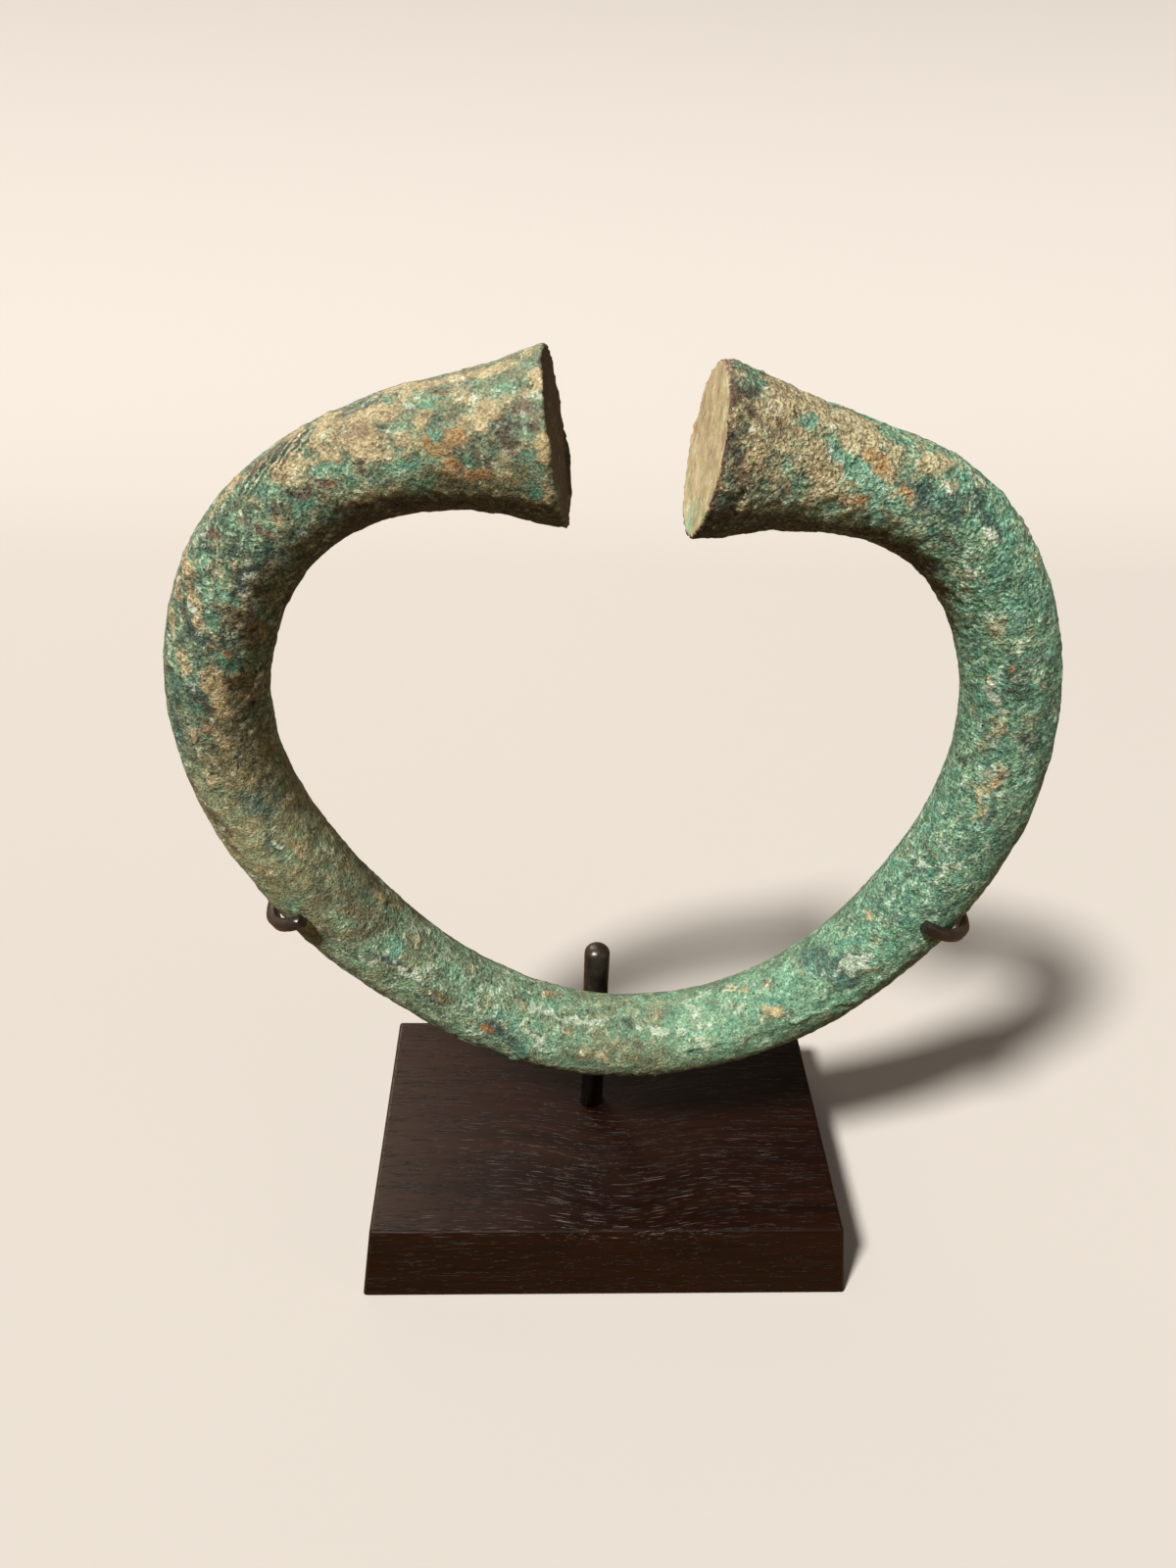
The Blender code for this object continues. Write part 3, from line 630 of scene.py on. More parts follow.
        (528, 425, 545, 430, 4, .6), (205, 740, 213, 742, 3.2, .9), (286, 460, 300, 452, 2.4, .6),
        (365, 440, 372, 446, 3.2, .6), (500, 1046, 503, 1052, 2.4, .9), (745, 388, 735, 440, 2, .9),
        (735, 440, 722, 500, 2.4, 1.0), (722, 500, 708, 535, 2.4, 1.0),
    ],
    "pale": [
        (545, 1028, 562, 1035, 3.2, 1.4), (562, 1035, 571, 1040, 3, 1.4),
        (571, 1040, 582, 1036, 3, 1.4), (582, 1036, 600, 1042, 3, 1.4),
        (600, 1042, 612, 1045, 2.5, 1.1), (530, 1020, 536, 1026, 5, .8), (540, 1052, 552, 1060, 4, 1.0),
        (545, 1065, 560, 1072, 4, 1.0), (555, 1060, 563, 1068, 3, 1.1), (596, 1072, 599, 1074, 2, 1.3),
        (524, 998, 560, 1003, 2, .8), (500, 985, 525, 995, 2, .8), (870, 980, 882, 976, 5, 1.3),
        (862, 988, 874, 985, 6, 1.2), (880, 985, 888, 990, 4, 1.0), (655, 1052, 650, 1050, 5, .8),
        (668, 1052, 692, 1052, 6, .9), (703, 1030, 712, 1036, 6, 1.0), (730, 1025, 752, 1028, 6, .6),
        (1005, 705, 1018, 715, 6, .9), (1008, 690, 1014, 700, 4, .8), (1000, 718, 1000, 712, 3, .9),
        (1046, 650, 1049, 668, 2.5, .9), (1034, 668, 1040, 668, 3, .8), (381, 463, 386, 467, 1.6, 1.0),
        (416, 412, 424, 415, 1.4, 1.0), (434, 416, 438, 418, 1.2, .8), (467, 388, 471, 390, 2, 1.3),
        (519, 399, 523, 401, 1.4, .9), (508, 414, 513, 411, 1.2, .8), (531, 416, 534, 418, 1.2, .9),
        (555, 412, 557, 418, 2, 1.2), (170, 655, 175, 660, 3, .8), (172, 668, 178, 678, 4, .8),
        (193, 612, 198, 625, 3, .9), (280, 862, 287, 866, 3, 1.3), (286, 876, 293, 872, 2, 1.1),
        (385, 978, 395, 990, 4, .7), (405, 985, 430, 1000, 5, .6), (370, 975, 380, 982, 3, .8),
        (940, 880, 944, 884, 3, 1.2), (958, 858, 962, 862, 2, 1.2), (962, 502, 970, 512, 3, .8),
        (1006, 545, 1012, 550, 4, .8), (985, 575, 992, 585, 3, .7), (245, 772, 250, 774, 2, 1.0),
        (425, 940, 440, 950, 2, .7), (715, 1016, 724, 1010, 2.5, .6),
    ],
}

# Raised lines (above 0) and cracks, pits and chips (below 0): the pixels along each, its half
# width in pixels and its height in millimetres
scars = [
    (((520, 1078), (560, 1091), (618, 1098), (665, 1097), (702, 1094)), 2.6, .65),
    (((702, 1094), (740, 1087), (773, 1077), (814, 1061), (855, 1040), (880, 1020),
      (896, 1004)), 2.6, .65),
    (((893, 1004), (905, 995), (919, 985)), 3.0, .6),
    (((899, 1009), (912, 1000), (925, 988)), 2.5, -.5),
    (((955, 930), (968, 922), (985, 908), (998, 895)), 2.0, .4),
    (((950, 940), (975, 925), (998, 904)), 1.8, .35), (((960, 936), (982, 920), (1000, 900)), 1.6, -.4),
    (((545, 1028), (562, 1035), (571, 1040), (582, 1036), (600, 1042), (612, 1045)), 2.4, .3),
    (((226, 688), (240, 690), (258, 682)), 2.5, .4), (((246, 674), (262, 662)), 2.5, .35),
    (((780, 470), (770, 488), (756, 508), (748, 525)), 2.0, -.55),
    (((797, 424), (798, 450)), 1.8, -.35),
    (((745, 390), (757, 393), (772, 396), (786, 404)), 2.2, -.45), (((257, 718), (261, 719)), 2.6, -.8),
    (((925, 894), (928, 896)), 2.6, -.7), (((863, 1009), (867, 1011)), 2.8, -.6),
    (((641, 1041), (642, 1046)), 6.0, -.25), (((975, 774), (983, 779)), 4.0, -.4),
    (((815, 422), (827, 429)), 4.0, -.3), (((1036, 722), (1041, 700), (1036, 690)), 2.4, .4),
    (((1040, 717), (1062, 712)), 2.0, .35),
    (((870, 977), (862, 990), (876, 990), (886, 984)), 5.0, .45),
    (((196, 730), (195, 742), (200, 757)), 2.5, .35), (((192, 606), (194, 622), (202, 634)), 3.5, .35),
    (((579, 464), (582, 480), (580, 500)), 8.0, .75), (((568, 388), (571, 398), (573, 412)), 4.0, .25),
    (((719, 382), (722, 372), (733, 366)), 6.0, 1.0), (((400, 401), (440, 399), (462, 392)), 1.6, -.3),
    (((407, 528), (420, 526)), 3.0, .5), (((294, 605), (298, 618)), 3.0, -.5),
    (((1000, 500), (1016, 535)), 5.0, -.35),
    (((343, 444), (350, 448), (357, 445), (362, 436)), 1.6, -.4),
    (((364, 447), (372, 443), (380, 446)), 1.4, -.3), (((306, 462), (312, 457), (320, 461)), 1.6, -.3),
    (((328, 459), (336, 461), (341, 457)), 1.4, -.3), (((282, 487), (288, 491), (295, 488)), 2.2, -.5),
    (((262, 488), (270, 478), (280, 468), (288, 462)), 1.8, -.35),
    (((278, 502), (288, 506), (296, 512)), 2.4, -.4), (((325, 495), (340, 494), (350, 486)), 2.0, -.45),
    (((362, 468), (367, 476), (366, 482)), 2.0, -.4), (((389, 425), (388, 440), (389, 462)), 1.4, -.3),
    (((796, 428), (797, 442), (794, 455)), 1.6, -.4), (((744, 384), (752, 391), (762, 394)), 1.8, -.45),
    (((776, 396), (781, 404), (786, 408)), 1.8, -.4),
    (((768, 478), (766, 488), (757, 498), (750, 510)), 1.8, -.45),
    (((848, 462), (851, 474), (862, 484), (874, 483)), 1.4, -.35),
    (((814, 420), (817, 426), (826, 431)), 1.4, -.4), (((560, 356), (566, 372), (569, 384)), 3.0, -.3),
    (((850, 462), (862, 470), (876, 480)), 6.0, -.25),
]
# A ribbed strip of the left arm: the pixels that it runs between, its half width in pixels, two
# pixels along a rib, and metres from rib to rib
ribs = {
    "strip": ((254, 492), (308, 446)),
    "halfWidth": 11,
    "along": ((282, 468), (293, 451)),
    "spacing": 0.00118,
}


def smoothStep(values, low, high):
    share = np.clip((values - low) / (high - low), 0, 1)
    return share * share * (3 - 2 * share)


def noiseField(points, size, octaves, drift):
    shift = Vector((drift, drift * 0.7, -drift))
    shape = hoopLook["noiseShape"]
    return np.array([noise.fractal(Vector(p) / size + shift, *shape, octaves) for p in points])


def evenly(values):  # the same field with its values spread evenly over 0 .. 1
    rank = np.empty(len(values))
    rank[np.argsort(values)] = np.arange(len(values)) / len(values)
    return rank


def strokeShare(points, start, end, reach):  # 1 along the middle of a stroke, 0 past its edge
    line = end - start
    along = np.clip((points - start) @ line / max(line @ line, 1e-12), 0, 1)
    distance = np.linalg.norm(points - start - along[:, None] * line, axis=1)
    inner, outer = hoopLook["strokeEdge"]
    return 1 - smoothStep(distance, inner * reach, outer * reach)


def byTurn(turn, stops):
    return np.interp(turn, *zip(*stops))


def fineSkin(piece):
    bm = bmesh.new()
    bm.from_mesh(piece.data)
    flatness, squareness = hoopLook["joinAngles"]
    bmesh.ops.join_triangles(
        bm, faces=bm.faces, angle_face_threshold=flatness, angle_shape_threshold=squareness,
        cmp_seam=False, cmp_sharp=False, cmp_uvs=False, cmp_vcols=False, cmp_materials=False,
    )
    crease = bm.edges.layers.float.new("crease_edge")
    creaseFrom = math.radians(hoopLook["creaseFrom"])
    for edge in bm.edges:
        if len(edge.link_faces) == 2 and edge.calc_face_angle() > creaseFrom:
            edge[crease] = hoopLook["rimCrease"]
    bm.to_mesh(piece.data)
    bm.free()
    rounded = piece.modifiers.new("Rounded", "SUBSURF")
    rounded.levels = rounded.render_levels = 2
    applyModifiers(piece)
    smooth = surfaceTree(piece.data)
    skin = piece.modifiers.new("Skin", "REMESH")
    skin.mode = "VOXEL"
    skin.voxel_size = hoopLook["skin"]
    applyModifiers(piece)
    for vertex in piece.data.vertices:  # off the voxel steps, onto the smooth surface
        vertex.co = smooth.find_nearest(vertex.co)[0]

    # fewer faces on the side away from the camera
    toCamera = np.array(view["place"]) - vertexVectors(piece.data)
    normals = vertexVectors(piece.data, "normal")
    facing = (normals * toCamera).sum(1) / np.linalg.norm(toCamera, axis=1)
    back = piece.vertex_groups.new(name="back")
    back.add(np.flatnonzero(facing < hoopLook["backFrom"]).tolist(), 1.0, "REPLACE")
    fewer = piece.modifiers.new("Fewer", "DECIMATE")
    fewer.vertex_group = "back"
    fewer.ratio = hoopLook["keptShare"]
    applyModifiers(piece)
    piece.vertex_groups.clear()


def hoopPlaces(points, normals):  # which part of the hoop each point is on
    ends = hoopLook["ends"]
    middle = (points.min(0) + points.max(0)) / 2
    x, z = points[:, 0], points[:, 2]
    right = x > 0
    face = smoothStep(np.abs(normals[:, 0]), *ends["turned"])
    face = face * (np.abs(x) < ends["within"]) * (z > ends["above"])
    rim = np.zeros(len(points))
    for side in (-1, 1):
        onSide = x * side > 0
        flat = (face > 0.9) & onSide
        outward, centre = normals[flat].mean(0), points[flat].mean(0)
        inside = (points - centre) @ outward / np.linalg.norm(outward)
        near = onSide & (np.linalg.norm(points - centre, axis=1) < ends["rimReach"])
        band = smoothStep(inside, -hoopLook["rimBand"], -hoopLook["rimEdge"])
        rim = np.maximum(rim, near * band * (1 - face))
    return {
        "turn": np.degrees(np.arctan2(x - middle[0], middle[2] - z)),
        "face": face,
        "rim": rim,
        "right": right,
        "leftFace": face * ~right,
        "rightFace": face * right,
        "foot": smoothStep(z, *ends["foot"]),
        "under": smoothStep(-normals[:, 2], *hoopLook["under"]),
    }


def crustShare(kind, tree, warped, place):
    share = byTurn(place["turn"], shares[kind])
    # on the underside the pale crusts thin out and brown spreads: partly real crust, partly painted
    # shade
    if kind in ("mint", "turquoise", "tan", "pale"):
        share = share * (1 - hoopLook["underBare"] * place["under"])
    if kind == "brown":
        share = np.maximum(share, hoopLook["underBrownAndShade"] * place["under"])
    for x0, y0, x1, y1, width, cover in patches[kind]:
        start, end = surfaceAt(tree, x0, y0), surfaceAt(tree, x1, y1)
        stroke = strokeShare(warped, start, end, width * view["pixel"])
        share = np.maximum(share, cover * stroke)

    # the right end face is smooth and tan, the left one dark brown
    ends = hoopLook["ends"]
    bare = share * (1 - place["face"])
    if kind in ("tan", "mint"):
        level, footAdds = ends[kind]
        return bare + place["rightFace"] * (level + footAdds * place["foot"])
    if kind == "brown":
        share = bare + place["leftFace"] * ends["brown"]
        leftRim, rightRim = ends["rimBrown"]
        return np.maximum(share, place["rim"] * np.where(place["right"], rightRim, leftRim))
    if kind == "red":
        level, footAdds = ends["red"]
        share = np.maximum(bare, place["rim"] * place["right"] * ends["rimRed"])
        return np.maximum(share, place["rightFace"] * (level + footAdds * place["foot"]))
    return share * (1 + ends["others"] * place["face"])


def crustLevels(covers, warped, crest):  # each share against islands of its own
    levels = {}
    size, octaves, drift = hoopLook["islandNoise"]
    for number, (kind, share) in enumerate(covers.items()):
        island = noiseField(warped, size, octaves, drift + hoopLook["islandDrift"] * number)
        island = island + hoopLook["hollows"].get(kind, 0.0) * (crest - 0.5)
        level = hoopLook["islands"][kind] * (0.5 - evenly(island))
        level += hoopLook["shareGain"] * share - hoopLook["shareFrom"]
        levels[kind] = np.clip(level, -1, 1)
    return levels


def scarHeights(tree, warped):  # how far the skin rises, and how much painted shade darkens the cracks
    rises, paintedCrackShade = np.zeros(len(warped)), np.zeros(len(warped))
    for pixels, width, rise in scars:
        line = [surfaceAt(tree, x, y) for x, y in pixels]
        share = np.max([
            strokeShare(warped, start, end, width * view["pixel"])
            for start, end in zip(line, line[1:])
        ], axis=0)
        rises += rise / 1000 * share
        if rise < 0:
            darker = min(hoopLook["crackDarkest"], hoopLook["crackShade"] * rise)
            paintedCrackShade = np.maximum(paintedCrackShade, darker * share)
    return rises, paintedCrackShade


def ribFields(tree, points, warped):  # where the ribs are, and how many ribs along a point is
    start, end = (surfaceAt(tree, x, y) for x, y in ribs["strip"])
    ribbed = strokeShare(warped, start, end, ribs["halfWidth"] * view["pixel"])
    start, end = (surfaceAt(tree, x, y) for x, y in ribs["along"])
    across = np.cross(end - start, start - np.array(view["place"]))
    across /= np.linalg.norm(across)
    return ribbed, points @ across / ribs["spacing"]


def makeManilla():
    piece = mergedCopy("manilla", "patinatedManilla")
    fineSkin(piece)
    mesh = piece.data
    tree = surfaceTree(mesh)
    points, normals = vertexVectors(mesh), vertexVectors(mesh, "normal")
    print("manilla skin:", len(mesh.polygons), "faces")
    place = hoopPlaces(points, normals)
    turn, face, under = place["turn"], place["face"], place["under"]

    broad = noiseField(points, *hoopLook["swellNoise"])
    lumpy = noiseField(points, *hoopLook["lumpNoise"])
    grainy = noiseField(points, *hoopLook["grainNoise"])
    size, octaves, drift = hoopLook["warpNoise"]
    warp = np.stack([noiseField(points, size, octaves, drift + i) for i in range(3)], 1)
    warped = points + warp * hoopLook["warp"]
    crest = noiseField(warped, *hoopLook["crestNoise"])
    crest += hoopLook["wideCrests"] * noiseField(warped, *hoopLook["wideCrestNoise"])
    crest = evenly(crest)

    covers = {kind: crustShare(kind, tree, warped, place) for kind in patches}
    levels = crustLevels(covers, warped, crest)
    print("patina laid out")

    # broad swell, lumps, grain, crusts of their own thickness, and scattered pits
    roughFrom, roughTo, rougher = hoopLook["roughRight"]
    rough = smoothStep(turn, roughFrom, roughTo) * rougher
    roughFrom, roughTo, rougher = hoopLook["roughLeft"]
    rough += smoothStep(-turn, roughFrom, roughTo) * rougher
    calmer = hoopLook["ends"]["calmer"]
    rough *= 1 - calmer["rough"] * face
    spacing = hoopLook["pitSpacing"]
    holes = np.array([noise.voronoi(Vector(p) / spacing)[0][0] for p in warped])
    pitted = (1 - smoothStep(holes, *hoopLook["pitEdge"])) * (hoopLook["pitsAlways"] + rough)
    pitted = pitted * smoothStep(lumpy, *hoopLook["pitLumps"])
    height = hoopLook["swell"] * broad + hoopLook["lumps"] * lumpy * (1 + rough)
    height += hoopLook["crests"] * (crest - 0.5) * (1 + rough) * (1 - face)
    height += hoopLook["grain"] * grainy * (1 + rough) * (1 - calmer["grain"] * face)
    height -= hoopLook["pits"] * pitted * (1 - face)
    for kind, thick in hoopLook["thickness"].items():
        cover = smoothStep(levels[kind] + hoopLook["crustFray"] * grainy, *hoopLook["crustEdge"])
        height += thick / 1000 * cover * (1 + hoopLook["crustRough"] * rough)
    height -= height.mean()
    rises, paintedCrackShade = scarHeights(tree, warped)
    height += rises
    ribbed, ribTurns = ribFields(tree, points, warped)
    moveVertices(mesh, points + normals * height[:, None])

    # what the material reads
    # painted light and shade from the relief: lighter where the skin rises, darker in the pits and the
    # cracks
    ofGrain, ofLumps, ofPits = hoopLook["paintedRelief"]
    paintedRelief = np.clip(0.5 + ofGrain * grainy + ofLumps * lumpy + ofPits * pitted, 0, 1)
    crusted = byTurn(turn, roundHoop["crusted"]) * (1 - calmer["crusted"] * face)
    pebbleFrom, pebbleTo, pebblier = hoopLook["pebblyRight"]
    pebbly = (1 - pebblier) * crusted + pebblier * smoothStep(turn, pebbleFrom, pebbleTo)
    # the shade attribute: the table round the hoop, partly the crust's own tone and partly painted
    # light and shade; painted shade on the underside; painted shade on the left end face and painted
    # light on the right one; and tan crust lighter
    leftFacePaintedShade, rightFacePaintedLight = hoopLook["ends"]["shade"]
    shade = byTurn(turn, roundHoop["shade"]) + hoopLook["paintedUnderShade"] * under
    shade = shade + face * np.where(place["right"], rightFacePaintedLight, leftFacePaintedShade)
    shade = shade + hoopLook["tanShade"] * smoothStep(levels["tan"], *hoopLook["tanShadeEdge"])
    greenBias = hoopLook["greenBias"] * (covers["mint"] - covers["teal"])
    most = hoopLook["mostBias"]
    fields = {
        "greenBias": np.clip(greenBias, -most, most),
        "crest": crest,
        "paintedRelief": np.clip(paintedRelief - paintedCrackShade, 0, 1),
        "flaky": byTurn(turn, roundHoop["flaky"]) * (1 - calmer["flaky"] * face),
        "crusted": crusted,
        "pebbly": pebbly * (1 - face),
        "shade": shade,
        "faceShare": face,
        "ribbed": ribbed,
        "ribTurns": ribTurns,
    }
    for kind, level in levels.items():
        fields[kind + "Level"] = level
    for name, values in fields.items():
        setAttribute(mesh, name, values)
    mesh.shade_smooth()
    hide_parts("manilla")
    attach(piece, "root")
    piece.data.materials.append(patinaMaterial())


def daylight(colour):  # screen values to the linear ones that a material takes
    return tuple(((c / 255 + 0.055) / 1.055) ** 2.4 for c in colour)


def toneRamp(tree, tone, stops):
    node = tree.nodes.new("ShaderNodeValToRGB")
    ramp = node.color_ramp
    for end in (0, -1):
        position, colour = stops[end]
        ramp.elements[end].position = position
        ramp.elements[end].color = (*daylight(colour), 1.0)
    for position, colour in stops[1:-1]:
        ramp.elements.new(position).color = (*daylight(colour), 1.0)
    plug(tree, node.inputs[0], tone)
    return node.outputs[0]


def patinaMaterial():
    look = hoopLook
    material, tree, shader = newMaterial("patina")
    place = objectVector(tree)

    def field(name):
        return addNode(tree, "ShaderNodeAttribute", {"attribute_name": name}).outputs["Fac"]

    def times(first, second):
        return mathNode(tree, "MULTIPLY", first, second)

    flaky, crusted = field("flaky"), field("crusted")
    grain = cloud(tree, place, *look["grainCloud"])
    swirl = addNode(tree, "ShaderNodeTexNoise", Vector=place, **look["swirl"]).outputs
    # pebbles: cells bent by the swirl, of which a few are deep pits and a few are pale specks, partly
    # crystals and partly painted glints
    shift = addNode(tree, "ShaderNodeVectorMath", {"operation": "SCALE"},
                    Vector=swirl["Color"], Scale=look["cellBend"])
    bent = addNode(tree, "ShaderNodeVectorMath", {"operation": "ADD"})
    plug(tree, bent.inputs[0], place)
    plug(tree, bent.inputs[1], shift.outputs[0])
    bent = bent.outputs[0]
    cells = addNode(tree, "ShaderNodeTexVoronoi", Vector=bent, Scale=look["cellScale"]).outputs
    pebbles = smoothRange(tree, cells["Distance"], *look["pebble"])
    lot = addNode(tree, "ShaderNodeSeparateColor", Color=cells["Color"]).outputs["Red"]
    core = smoothRange(tree, cells["Distance"], *look["core"])
    # flat flakes with steep edges, in two layers
    layers = addNode(tree, "ShaderNodeTexNoise", Vector=bent, **look["layers"]).outputs[0]
    flakes = 0.0
    for low, high in look["flakeEdges"]:
        step = smoothRange(tree, layers, low, high)
        flakes = mathNode(tree, "MULTIPLY_ADD", step, 0.5, flakes)
    turns = mathNode(tree, "MULTIPLY_ADD", swirl[0], look["ribWander"], field("ribTurns"))
    wave = mathNode(tree, "SINE", times(turns, 2 * math.pi))
    marks = {
        "crest": field("crest"),
        "paintedRelief": field("paintedRelief"),
        "medium": cloud(tree, place, *look["mediumCloud"]),
        "grit": centred(tree, grain, 0.5, crusted),
        "folds": centred(tree, swirl[0], 0.5, crusted),
        "pebbled": centred(tree, pebbles, look["pebbleMiddle"], field("pebbly")),
        "flaked": centred(tree, flakes, 0.5, flaky),
        "ribbing": centred(tree, wave, 0.5, field("ribbed")),
        "pits": times(smoothRange(tree, lot, *look["pitLots"]), times(core, flaky)),
        "specksAndGlints": times(smoothRange(tree, lot, *look["speckLots"]), core),
        "raised": 0.0,
    }
    # tone from the bump's marks: partly the crust's own tone, partly painted light and shade
    tone = mathNode(tree, "ADD", weighted(tree, marks, look["tone"]), field("shade"))
    tone = smoothRange(tree, tone, *look["toneRange"])
    greenTone = mathNode(tree, "ADD", tone, field("greenBias"))
    colour = toneRamp(tree, greenTone, look["colours"]["green"])
    ragging = smoothRange(tree, layers, *look["ragging"])
    for kind, (ragged, soft, solid) in look["edges"].items():
        above = toneRamp(tree, tone, look["colours"][kind])
        made = useGroup(tree, raggedPatch, below=colour, above=above, mask=field(kind + "Level"),
                        noise=ragging, ragged=ragged, soft=soft, solid=solid)
        colour = made["colour"]
        if kind in ("tan", "pale"):  # these two stand up from the rest
            marks["raised"] = mathNode(tree, "MULTIPLY_ADD", made["cover"], 0.5, marks["raised"])
    plug(tree, shader.inputs["Base Color"], colour)

    glossy = look["roughness"] - look["shine"]
    rough = smoothRange(tree, grain, *look["shineFrom"], look["roughness"], glossy)
    plug(tree, shader.inputs["Roughness"], rough)
    shader.inputs["Specular IOR Level"].default_value = look["specular"]
    calm = mathNode(tree, "MULTIPLY_ADD", field("faceShare"), look["faceBump"], 1.0)
    height = times(weighted(tree, marks, look["height"]), calm)
    addBump(tree, shader, height, 1.0, look["bump"])
    return material


# Stand
standLook = {
    "swell": 0.00035,             # forged a little stouter than the solid
    "sharpFrom": 30,              # degrees
    "colour": (0.009, 0.006, 0.005),
    "worn": (0.042, 0.031, 0.023),
    "metallic": 0.35,
    "roughness": (0.24, 0.46),    # least and most
    "bump": (0.25, 0.0002),
    "wear": (140.0, 5.0, 2.2, 7.0),      # scale, detail, contrast, drift
    "streaks": (1500.0, 3.0, 2.0, 8.0),
    "streakStretch": (1.0, 1.0, 0.12),
    "streakRange": (0.2, 0.9),
}


def makeStand():
    piece = mergedCopy("metal_stand", "blackenedStand")
    mesh = piece.data
    moveVertices(mesh, vertexVectors(mesh) + vertexVectors(mesh, "normal") * standLook["swell"])
    mesh.shade_smooth()
    mesh.set_sharp_from_angle(angle=math.radians(standLook["sharpFrom"]))
    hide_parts("metal_stand")
    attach(piece, "root")
    piece.data.materials.append(standMaterial())


def standMaterial():
    look = standLook
    material, tree, shader = newMaterial("blackenedMetal")
    place = objectVector(tree)
    wear = cloud(tree, place, *look["wear"])
    streaks = cloud(tree, stretched(tree, place, look["streakStretch"]), *look["streaks"])
    plug(tree, shader.inputs["Base Color"], mixColour(tree, wear, look["colour"], look["worn"]))
    shader.inputs["Metallic"].default_value = look["metallic"]
    rough = smoothRange(tree, streaks, *look["streakRange"], *look["roughness"])
    plug(tree, shader.inputs["Roughness"], rough)
    addBump(tree, shader, streaks, *look["bump"])
    return material


# Base
baseLook = {
    "sharpFrom": 40,              # degrees
    "flatFrom": 0.00003,          # square metres of one direction that stay flat
    "dark": (0.0032, 0.0006, 0.0002),
    "light": (0.0115, 0.0021, 0.0004),
    "stroke": (0.0022, 0.0006, 0.0002),
    # pale colour of the pore dashes: partly filler in the pores, partly painted glints
    "poreFillAndGlint": (0.120, 0.085, 0.070),
    "roughness": 0.31,
    "specular": 0.22,
    "bump": 0.0003,
    "bendAt": 0.004,              # where across the top the grain dips towards the front
    "bendWidth": 0.036,
    "bendDepth": 0.0050,

    "bands": (0.055, 230.0, 4.0, 2.4, 3.0),  # stretch, scale, detail, contrast, drift
    "fibres": (0.080, 1100.0, 3.0, 2.6, 4.0),
    "pores": (0.040, 2500.0, 1.0, 2.6, 5.0),
    "patchy": (0.6, 42.0, 2.0, 1.6, 6.0),
    "strokeEdge": (0.34, 0.16, 0.0, 0.9),
    "poreEdge": (0.84, 0.98),
    "openEdge": (0.32, 0.85),
    "openTo": {"y": (0.015, -0.038), "aside": (0.070, 0.025), "z": (0.022, 0.026)},
    "open": {"patchy": 0.65, "forward": 0.35},
    "rough": {"dashes": 0.3, "strokes": 0.06, "bands": 0.10},
    "height": {"strokes": -0.35, "fibres": 0.15, "bands": 0.2, "dashes": -0.4},
}


def makeBase():
    piece = mergedCopy("wooden_base", "stainedBase")
    mesh = piece.data
    mesh.shade_smooth()
    mesh.set_sharp_from_angle(angle=math.radians(baseLook["sharpFrom"]))
    # broad flat sides stay flat, the roundings between them are smooth
    facing = [tuple(round(c, 2) for c in face.normal) for face in mesh.polygons]
    area = {}
    for key, face in zip(facing, mesh.polygons):
        area[key] = area.get(key, 0.0) + face.area
    for key, face in zip(facing, mesh.polygons):
        face.use_smooth = area[key] < baseLook["flatFrom"]
    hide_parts("wooden_base")
    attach(piece, "root")
    piece.data.materials.append(woodMaterial())


def woodMaterial():
    look = baseLook
    material, tree, shader = newMaterial("stainedWood")
    place = addNode(tree, "ShaderNodeSeparateXYZ", Vector=objectVector(tree)).outputs
    x, z = place["X"], place["Z"]
    side = mathNode(tree, "ABSOLUTE", mathNode(tree, "SUBTRACT", x, look["bendAt"]))
    dip = smoothRange(tree, side, 0.0, look["bendWidth"], look["bendDepth"], 0.0)
    y = mathNode(tree, "ADD", place["Y"], dip)
    bent = addNode(tree, "ShaderNodeCombineXYZ", X=x, Y=y, Z=z).outputs[0]
    marks = {}
    for name in ("bands", "fibres", "pores", "patchy"):
        stretch, *speckled = look[name]
        marks[name] = cloud(tree, stretched(tree, bent, (stretch, 1.0, 1.0)), *speckled)

    # open pores, most of them towards the middle of the front, coloured pale: partly filler in the
    # pores, partly painted glints
    aside = mathNode(tree, "ABSOLUTE", x)
    forward = 1.0
    for name, value in (("y", y), ("aside", aside), ("z", z)):
        near = smoothRange(tree, value, *look["openTo"][name])
        forward = mathNode(tree, "MULTIPLY", near, forward)
    marks["forward"] = forward
    openly = smoothRange(tree, weighted(tree, marks, look["open"]), *look["openEdge"])
    pores = smoothRange(tree, marks["pores"], *look["poreEdge"])
    marks["dashes"] = mathNode(tree, "MULTIPLY", pores, openly)
    marks["strokes"] = smoothRange(tree, marks["fibres"], *look["strokeEdge"])

    colour = mixColour(tree, marks["bands"], look["dark"], look["light"])
    colour = mixColour(tree, marks["strokes"], colour, look["stroke"])
    colour = mixColour(tree, marks["dashes"], colour, look["poreFillAndGlint"])
    plug(tree, shader.inputs["Base Color"], colour)
    rough = weighted(tree, marks, look["rough"], look["roughness"])
    plug(tree, shader.inputs["Roughness"], rough)
    shader.inputs["Specular IOR Level"].default_value = look["specular"]
    addBump(tree, shader, weighted(tree, marks, look["height"]), 1.0, look["bump"])
    return material


